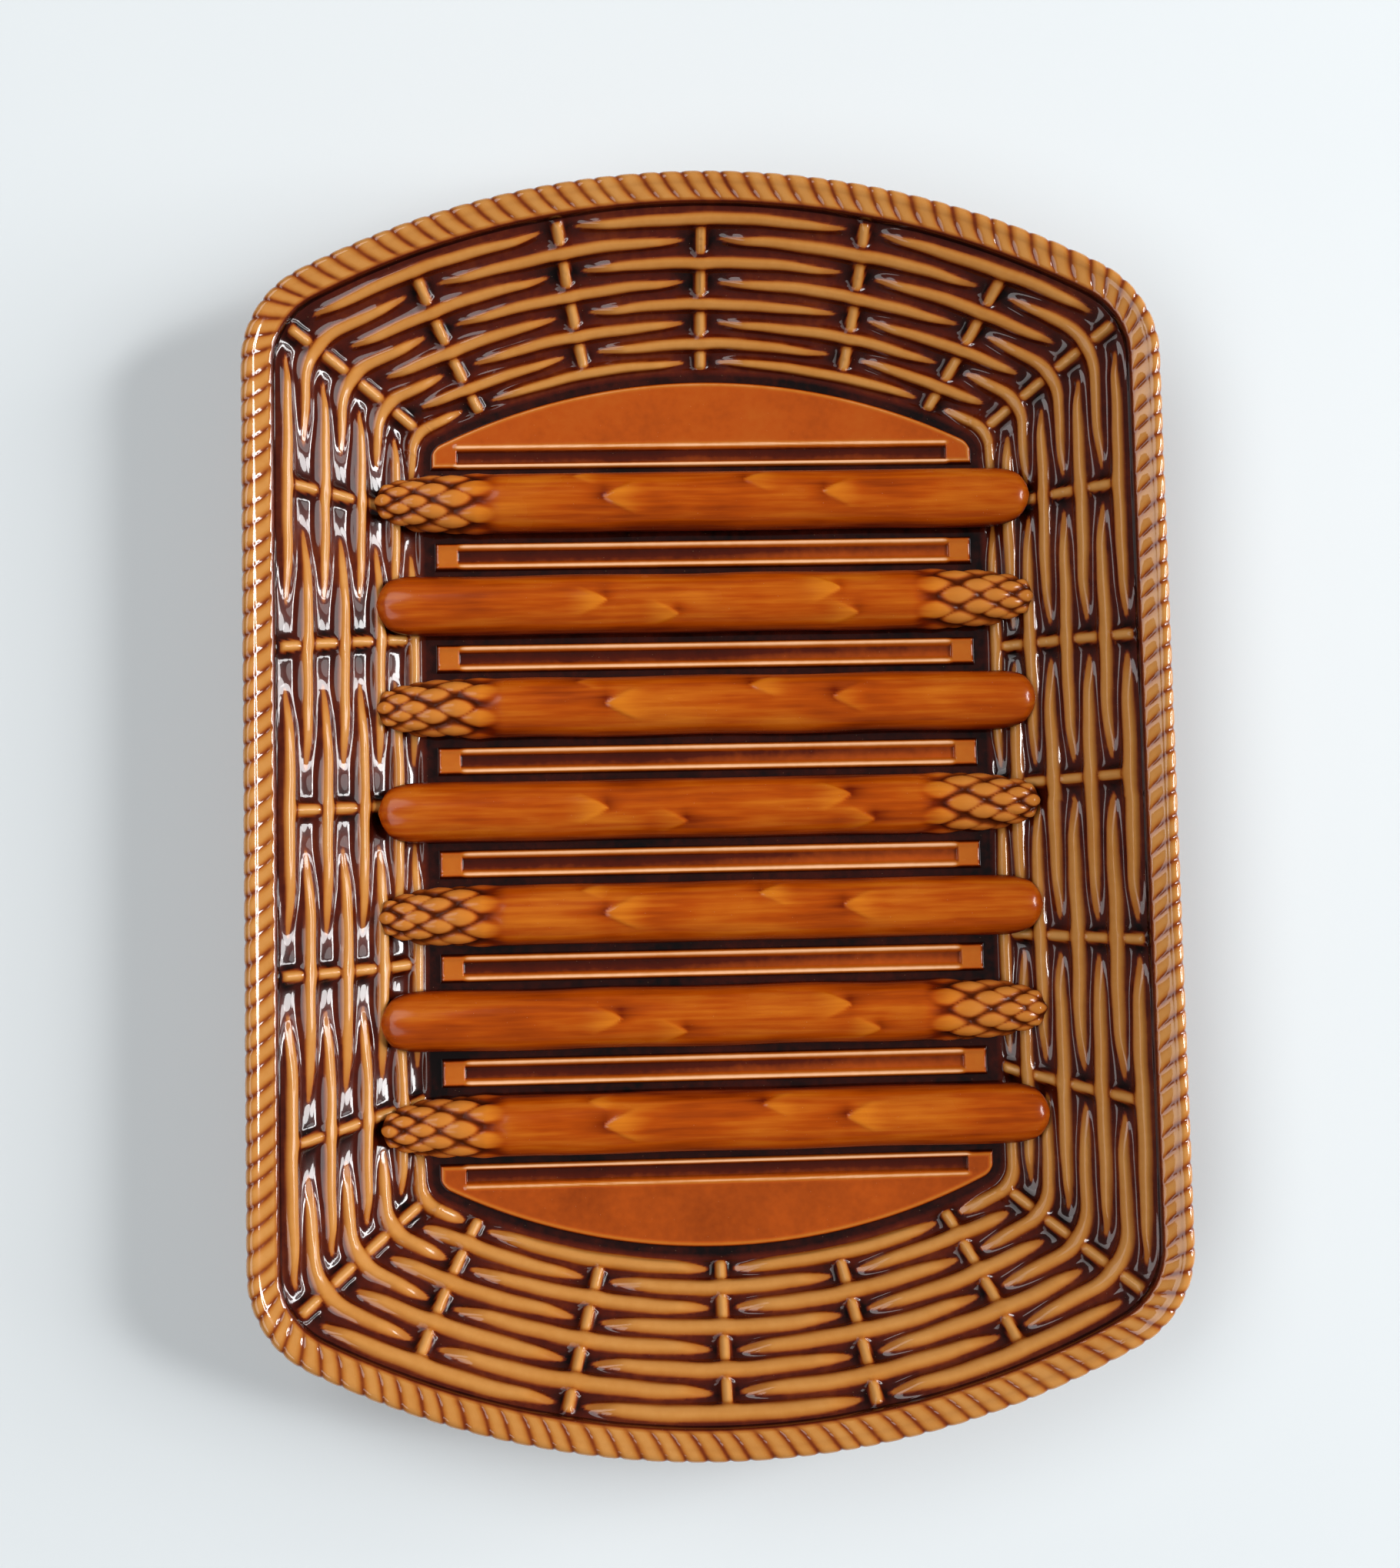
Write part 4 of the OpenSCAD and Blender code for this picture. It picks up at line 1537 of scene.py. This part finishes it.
    def _shade(self, from_tip: Array, arc: Array) -> Array:
        """Glaze that pools just in front of each bract's point, from 0 to 1.

        Args:
            from_tip: Distances from the tip.
            arc: Distances round the section from its crown.

        Returns:
            How deep the glaze pools at each point.
        """
        shade = np.zeros(arc.shape)
        for start, side, size in self._bract_points():
            ahead = (start + 0.5 - from_tip) / (self.shade_length * size)
            pool = mound(arc - side - 1.2, self.shade_width * size) * np.exp(-np.maximum(ahead, 0.0) * 2.2)
            shade = np.maximum(shade, pool * smooth_step(-0.5, 0.1, ahead) * size)
        return shade

    def _dimples(self, from_tip: Array, arc: Array) -> Array:
        """Faint unevenness along the stalk, from the carver's hand."""
        slow = np.sin(from_tip * 0.11 + self.number) * np.sin(arc * 0.35 + 2.1 * self.number)
        return slow * smooth_step(self.scale_reach, self.scale_reach + 15.0, from_tip)

    def build(self, glaze: bpy.types.Material) -> None:
        """Makes the spear.

        Args:
            glaze: Its finish.
        """
        from_tip = self._stations()[:, None]
        from_butt = 2.0 * self.reach - from_tip
        x = self.reach - from_tip
        bed = self._bed(x)
        full = np.minimum(round_rise(from_tip, self.taper), round_rise(from_butt, self.butt_taper))
        end_width = np.where(x > 0.0, self.tip_width, self.butt_width)
        ends = np.minimum(round_rise(from_tip, self.tip_round), round_rise(from_butt, self.butt_round))
        ends = np.maximum(ends, self.thinnest)
        half = (end_width + (self.width - end_width) * full) / 2 * ends
        end_crown = self._bed(np.array(self.reach)) + self.nose
        crown = end_crown + (self.sizes.floor_z + self.height - end_crown) * full
        crown = bed + (crown - bed) * np.sqrt(ends)
        spring = bed + (crown - bed) * self.spring
        turn = np.linspace(0.0, math.pi, self.section_points)[None, :]
        out = unit(np.stack([np.cos(turn) * (crown - spring), np.sin(turn) * half], axis=-1))
        arc = (half + crown - spring) / 2 * (math.pi / 2 - turn)
        scales, pale = self._scales(from_tip, arc)
        bracts = self._bracts(from_tip, arc)
        start, end = (self.scale_reach + edge for edge in self.scale_fade)
        near_tip = 1.0 - smooth_step(start, end, from_tip)
        strength = np.minimum(half / self.scale_half, 1.0) * near_tip
        push = self.scale_relief * strength * (scales - self.scale_seat) + self.bract_relief * bracts
        push = push - self.dimple * self._dimples(from_tip, arc)
        y = half * np.cos(turn) + push * out[..., 0]
        z = spring + (crown - spring) * np.sin(turn) + push * out[..., 1]
        y = np.concatenate([y, -0.9 * half, 0.9 * half], axis=1)
        z = np.concatenate([z, bed - self.sink, bed - self.sink], axis=1)
        x = np.broadcast_to(-x if self.turned else x, y.shape)
        # Painted light: the stalk and the head's scales are paler towards the top of the section, with
        # painted shade darkening them down the flanks
        high = smooth_step(0.0, 0.75, np.sin(turn))
        shade = self._shade(from_tip, arc) * (1.0 - np.clip(3.0 * bracts, 0.0, 1.0))
        stalk = self.foot_mark + self.lit_crown_mark * high + self.bract_mark * bracts - self.shade_mark * shade
        relief = stalk * (1.0 - near_tip) + near_tip * pale * (self.scale_mark + self.scale_lit_crown_mark * high)
        tone = np.broadcast_to(1.0 - smooth_step(self.head_start, self.head_length, from_tip), arc.shape)
        marks = {
            Mark.RELIEF: with_base(np.clip(relief, 0.0, 1.0)),
            Mark.TONE: with_base(tone, mode="edge"),
        }
        mould = Mould()
        mould.loft(np.stack([x, y + self.y, z], axis=-1), marks)
        mould.cast(f"spear_{self.number}_stalk", Slot.RUSSET, glaze, [f"spear_{self.number}"])


@dataclass(frozen=True)
class Slab:
    """A bar or panel with a channel sunk in it, as numbers by column and row.

    Heights are above the well's floor. The channel is 1 inside and 0 outside, and the glaze's
    relief mark, with its painted highlights, reflection and shade, is given outside it and inside it.
    """

    x: Array
    y: Array
    height: Array
    channel: Array
    relief: Array
    channel_relief: Array


@dataclass
class SpearBed:
    """The row of spears, with the bars between them and the panels beyond them."""

    sizes: PlateSizes
    wall: Wall
    spear_glaze: bpy.types.Material
    bar_glaze: bpy.types.Material
    count: int = 7
    overhang: float = 13.2
    # Bars and their channels
    bar_width: float = 8.8
    bar_height: float = 2.2
    bar_dip: float = 0.55
    bar_round: float = 1.1
    bar_steps: int = 170
    bar_points: int = 33
    bar_end_gap: float = 4.4
    drain_gap: float = 2.2
    ridge: float = 2.2
    ridge_width: float = 0.9
    pad: float = 7.0
    channel_floor: float = 0.5
    channel_steps: tuple[float, ...] = (-0.6, -0.4, -0.25, -0.12, 0.0, 0.12, 0.25)
    sink: float = 0.4
    # The glaze's relief marks on bars, and in channels. The pale ridge lines are partly the glaze
    # thinning over the ridges and partly a painted highlight
    edge_mark: float = 0.12
    bar_mark: float = 0.54
    bar_ridge_break_and_highlight: float = 0.42
    bar_ridge_break_and_highlight_width: float = 0.8
    channel_mark: float = 0.2
    # Painted reflection: each bar's channel is coloured paler towards +X, the window's side
    channel_painted_reflection: float = 0.18
    # Painted shade: channels are coloured darker along their edge towards the head (+Y)
    channel_painted_shade: float = 0.08
    # Panels, and the moat between them and the wall
    moat: float = 3.4
    corner_gap: float = 0.02
    panel_depth: float = 27.2
    panel_steps: int = 261
    panel_points: int = 61
    outline_points: int = 1601
    panel_dip: float = 0.35
    panel_round: float = 1.3
    panel_mark: float = 0.35
    panel_mark_change: float = 0.03
    # Pale lines along a panel's rounded edge and its ridges: partly the glaze thinning over them, partly a
    # painted highlight
    panel_rim_break_and_highlight: float = 0.3
    panel_rim_place: float = 1.2
    panel_rim_width: float = 0.55
    panel_ridge_break_and_highlight: float = 0.5
    panel_ridge_break_and_highlight_width: float = 0.65
    panel_channel_mark: float = 0.22

    @property
    def panel_edge(self) -> float:
        """Distance of a panel's straight edge from the middle of the plate."""
        return self.sizes.well.half_length - self.moat - self.panel_depth

    @property
    def spear_pitch(self) -> float:
        """Distance from one spear to the next."""
        return (2.0 * self.panel_edge + self.bar_width) / self.count

    @property
    def bar_length(self) -> float:
        """Length of a bar."""
        return 2.0 * (self.sizes.well.half_width - self.bar_end_gap)

    @property
    def channel_reach(self) -> float:
        """Half the length of a channel."""
        return self.bar_length / 2 - self.pad

    @property
    def channel_half(self) -> float:
        """Half the width of a channel."""
        return self.bar_width / 2 - self.ridge

    def spear_y(self, number: float) -> float:
        """Place of a spear along Y."""
        return ((self.count + 1) / 2 - number) * self.spear_pitch

    def build(self) -> None:
        """Makes the spears, the bars and the panels."""
        for number in range(1, self.count + 1):
            Spear(
                sizes=self.sizes,
                wall=self.wall,
                number=number,
                y=self.spear_y(number),
                width=self.spear_pitch - self.bar_width - 2.0 * self.drain_gap,
                reach=self.sizes.well.half_width + self.overhang,
            ).build(self.spear_glaze)
        for number in range(1, self.count):
            self._build_bar(number)
        self._build_panel("head_panel", 1.0)
        self._build_panel("foot_panel", -1.0)

    def _channel(self, x: Array, y: Array) -> Array:
        """How far points lie inside a channel, as a smooth share."""
        along = smooth_step(-0.05, 0.35, self.channel_reach - np.abs(x))
        return along * smooth_step(-0.35, 0.75, self.channel_half - np.abs(y))

    def _channel_ends(self) -> Array:
        """Places along X at which a slab needs points for its channel's ends."""
        stops = self.channel_reach + np.array(self.channel_steps)
        return np.concatenate([stops, -stops])

    def _build_bar(self, number: int) -> None:
        """Makes one drain bar.

        Args:
            number: Its number, which is that of the spear before it.
        """
        half_x, half_y = self.bar_length / 2, self.bar_width / 2
        ends = half_x - np.array([0.0, 0.1, 0.3, 0.6, 1.0])
        middle = np.linspace(1.4 - half_x, half_x - 1.4, self.bar_steps)
        x = np.sort(np.concatenate([-ends, middle, ends, self._channel_ends()]))[:, None]
        y = half_y * eased(self.bar_points)[None, :]
        gap = np.minimum(half_x - np.abs(x), half_y - np.abs(y))
        aside = np.abs(y) - (half_y - self.ridge / 2)
        crest = self.bar_height - self.bar_dip + self.bar_dip * mound(aside, self.ridge_width)
        # Pale line along each ridge: partly the glaze thinning over it, partly a painted highlight
        line = mound(aside, self.bar_ridge_break_and_highlight_width) * smooth_step(-0.5, 2.0, self.channel_reach - np.abs(x))
        # Painted reflection: the channel's glaze grows paler towards +X, starting at a different place in
        # each bar
        painted_reflection = smooth_step(-0.3, 0.8, (x + 9.0 * wobble(number, 3.0)) / half_x)
        # Painted shade: the channel is darker along its edge towards the head (+Y)
        slab = Slab(
            x=x,
            y=y + self.spear_y(number + 0.5),
            height=crest * round_rise(gap, self.bar_round),
            channel=self._channel(x, y),
            relief=self.edge_mark + self.bar_mark * smooth_step(0.2, 1.5, gap) + self.bar_ridge_break_and_highlight * line,
            channel_relief=self.channel_mark + self.channel_painted_reflection * painted_reflection - self.channel_painted_shade * np.tanh(y),
        )
        self._cast_slab(slab, f"drain_bar_{number}", "ridges")

    def _panel_outline(self, edge: Outline, x: Array) -> Array:
        """How far out a panel's curved edge lies at places along X.

        Args:
            edge: The outline of which the panel's curved edge is a part.
            x: The places.

        Returns:
            Its distance from the middle of the plate along Y.
        """
        outline = edge.points(np.linspace(RIGHT_SIDE, LEFT_SIDE, self.outline_points))
        outline = outline[np.argsort(outline[:, 0])]
        outline = outline[outline[:, 1] >= self.panel_edge - 8.0]
        return np.maximum(np.interp(x, outline[:, 0], outline[:, 1]), self.panel_edge + 0.2)

    def _build_panel(self, name: str, sign: float) -> None:
        """Makes one end panel.

        Args:
            name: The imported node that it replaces.
            sign: 1 for the panel at the head, and -1 for the one at the foot.
        """
        edge = self.sizes.well.inset(self.moat)
        half = edge.half_width - self.corner_gap
        x = np.sort(np.concatenate([half * eased(self.panel_steps), self._channel_ends()]))
        far = self._panel_outline(edge, x)
        slant = np.hypot(1.0, np.gradient(far, x))[:, None]
        x, far = x[:, None], far[:, None]
        share = (1.0 - np.cos(np.linspace(0.0, 1.0, self.panel_points) * math.pi)) / 2
        y = self.panel_edge + (far - self.panel_edge) * share[None, :]
        sides = np.minimum(y - self.panel_edge, half - np.abs(x) + self.corner_gap)
        gap = np.minimum((far - y) / slant, sides)
        middle = self.panel_edge + self.ridge + self.channel_half - 0.6
        aside = np.abs(y - middle) - self.channel_half - self.ridge_width
        within = 1.0 - smooth_step(-1.0, 1.5, np.abs(x) - self.channel_reach)
        crest = self.bar_height - self.panel_dip + self.panel_dip * (mound(aside, self.ridge_width) * within)
        flat = (self.panel_mark + self.panel_mark_change * sign) * smooth_step(0.2, 1.2, gap)
        # Pale lines along the rounded edge and the ridges: partly the glaze thinning over them, partly a
        # painted highlight
        rim = self.panel_rim_break_and_highlight * mound(gap - self.panel_rim_place, self.panel_rim_width)
        line = self.panel_ridge_break_and_highlight * mound(aside, self.panel_ridge_break_and_highlight_width) * within
        # Painted shade: the panel's channel is darker along its edge towards the plate's head (+Y)
        slab = Slab(
            x=x,
            y=y * sign,
            height=crest * round_rise(gap, self.panel_round),
            channel=self._channel(x, y - middle),
            relief=self.edge_mark + flat + rim + line,
            channel_relief=self.panel_channel_mark - self.channel_painted_shade * sign * np.tanh(y - middle),
        )
        self._cast_slab(slab, name, "half_moon")

    def _cast_slab(self, slab: Slab, name: str, suffix: str) -> None:
        """Sinks the channel, closes the slab and makes the piece.

        Args:
            slab: The slab.
            name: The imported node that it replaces.
            suffix: What the piece shows, for its name.
        """
        height = slab.height + (self.channel_floor - slab.height) * slab.channel
        relief = slab.relief * (1.0 - slab.channel) + slab.channel * slab.channel_relief
        x, y = np.broadcast_to(slab.x, height.shape), np.broadcast_to(slab.y, height.shape)
        top = np.stack([x, y, self.sizes.floor_z + height], axis=-1)
        base = top[:, [-1, 0]].copy()
        base[..., 2] = self.sizes.floor_z - self.sink
        mould = Mould()
        mould.loft(np.concatenate([top, base], axis=1), {Mark.RELIEF: with_base(relief)})
        mould.cast(f"{name}_{suffix}", Slot.BROWN, self.bar_glaze, [name])


# Studio


@dataclass(frozen=True)
class Plaster:
    """The floor's pale matt plaster, which looks a little brighter than it lights the plate."""

    name: str = "pale plaster floor"
    pale: Colour = colour("DBDEDF")
    dim: Colour = colour("D2D8DB")
    dark: Colour = colour("000000")
    glow: Colour = colour("484B4C")
    cloud_scale: float = 1.6
    roughness: float = 0.7
    unevenness: float = 0.2

    def material(self) -> bpy.types.Material:
        """Builds the finish.

        Returns:
            The material.
        """
        tree = FinishTree(self.name)
        clouds = tree.noise(self.cloud_scale, detail=3.0)
        path = tree.add("ShaderNodeLightPath", {}, {})
        seen = Signal(tree, path.outputs["Is Camera Ray"]) + Signal(tree, path.outputs["Is Glossy Ray"])
        seen = seen + Signal(tree, path.outputs["Is Transmission Ray"])
        return tree.close(
            {
                "Base Color": tree.mix(clouds, self.pale, self.dim),
                "Roughness": self.roughness + clouds * self.unevenness,
                "Emission Color": tree.mix(seen, self.dark, self.glow),
                "Emission Strength": 1.0,
            }
        )


@dataclass(frozen=True)
class Lamp:
    """A soft oval lamp, turned to the plate: directions in degrees, sizes in metres, watts.

    Its azimuth runs anticlockwise from +X, and its elevation is the angle above the floor.
    """

    name: str
    azimuth: float
    elevation: float
    width: float
    height: float
    power: float

    def build(self, distance: float) -> None:
        """Hangs the lamp at a distance from the plate.

        Args:
            distance: The distance from the middle of the plate, in metres.
        """
        light = bpy.data.lights.new(self.name, "AREA")
        light.shape = "ELLIPSE"
        light.size, light.size_y, light.energy = self.width, self.height, self.power
        holder = bpy.data.objects.new(self.name, light)
        turn, rise = math.radians(self.azimuth), math.radians(self.elevation)
        flat = distance * math.cos(rise)
        holder.location = (flat * math.cos(turn), flat * math.sin(turn), distance * math.sin(rise))
        holder.rotation_euler = (math.pi / 2 - rise, 0.0, turn + math.pi / 2)
        bpy.context.scene.collection.objects.link(holder)


@dataclass
class Studio:
    """A pale floor, a window's soft light from the right, and the camera above the plate."""

    floor_half: float = 2.5
    floor_cells: int = 8
    lamp_distance: float = 4.0
    ring_lamps: int = 12
    ring_azimuth: float = 6.0
    ring_elevation: float = 26.0
    ring_width: float = 13.0
    ring_height: float = 16.5
    ring_size: float = 0.58
    ring_power: float = 15.6
    ring_change: float = 0.35
    other_lamps: tuple[Lamp, ...] = (
        Lamp("window_middle", 6.0, 26.0, 0.57, 0.83, 3.6),
        Lamp("room_head", 142.0, 52.0, 3.4, 2.0, 56.0),
        Lamp("room_foot", -152.0, 52.0, 3.0, 2.0, 42.0),
    )
    world_colour: Colour = colour("DDE4EA")
    world_strength: float = 0.18
    camera_place: Vector = (-0.03007, -0.03502, 0.620)
    camera_turn: Vector = (0.07036, -0.04274, -0.02237)
    camera_span: Span = (0.01, 20.0)
    lens: float = 45.56
    sensor: float = 36.0

    def build(self) -> None:
        """Makes the floor, the lamps, the world and the camera."""
        self._build_floor()
        for lamp in (*self._ring(), *self.other_lamps):
            lamp.build(self.lamp_distance)
        self._build_world()
        self._build_camera()

    def _build_floor(self) -> None:
        """Makes the floor, as a grid of squares."""
        cells, side = self.floor_cells, self.floor_cells + 1
        steps = np.linspace(-self.floor_half, self.floor_half, side)
        corners = [row * side + column for row in range(cells) for column in range(cells)]
        mesh = bpy.data.meshes.new("floor")
        mesh.from_pydata(
            [(x, y, 0.0) for y in steps for x in steps],
            [],
            [(at, at + 1, at + side + 1, at + side) for at in corners],
        )
        mesh.materials.append(Plaster().material())
        floor = bpy.data.objects.new("floor", mesh)
        bpy.context.scene.collection.objects.link(floor)

    def _ring(self) -> Iterator[Lamp]:
        """The window: an oval ring of lamps, brighter at the top.

        Returns:
            The lamps, clockwise as seen from the plate.
        """
        for number in range(self.ring_lamps):
            turn = 2.0 * math.pi * number / self.ring_lamps
            yield Lamp(
                name=f"window_{number}",
                azimuth=self.ring_azimuth + self.ring_width * math.cos(turn),
                elevation=self.ring_elevation + self.ring_height * math.sin(turn),
                width=self.ring_size,
                height=self.ring_size,
                power=self.ring_power * (1.0 + self.ring_change * math.sin(turn)),
            )

    def _build_world(self) -> None:
        """Lights the room's dim surroundings."""
        world = bpy.data.worlds.new("room")
        world.use_nodes = True
        ground = world.node_tree.nodes["Background"]
        ground.inputs["Color"].default_value = self.world_colour
        ground.inputs["Strength"].default_value = self.world_strength
        bpy.context.scene.world = world

    def _build_camera(self) -> None:
        """Puts the camera where the photograph was taken from."""
        view = bpy.data.cameras.new("view")
        view.sensor_fit = "VERTICAL"
        view.sensor_height, view.lens = self.sensor, self.lens
        view.clip_start, view.clip_end = self.camera_span
        camera = bpy.data.objects.new("view", view)
        camera.location, camera.rotation_euler = self.camera_place, self.camera_turn
        bpy.context.scene.collection.objects.link(camera)
        bpy.context.scene.camera = camera
        bpy.context.scene.view_settings.view_transform = "Standard"


def main() -> None:
    """Builds every sub-assembly in order."""
    logging.basicConfig(level=logging.INFO, format="%(name)s %(message)s")
    sizes = PlateSizes()
    wall = Wall(sizes)
    caramel = Glaze("caramel wicker glaze", WICKER_STOPS).material()
    golden = Glaze("golden rope glaze", WICKER_STOPS, thinning=0.0).material()
    dark = Glaze("pooled dark glaze and painted shade", WICKER_STOPS).material()
    brown = Glaze("brown bar glaze", BAR_STOPS, cloud=0.1).material()
    russet = SpearGlaze().material()
    clay = BareClay().material()
    wicker = Wicker(wall, caramel)
    wicker.build()
    Dish(sizes, wall, wicker, dark, clay).build()
    RopeRim(sizes, golden).build()
    SpearBed(sizes, wall, russet, brown).build()
    Studio().build()


if __name__ == "__main__":
    main()
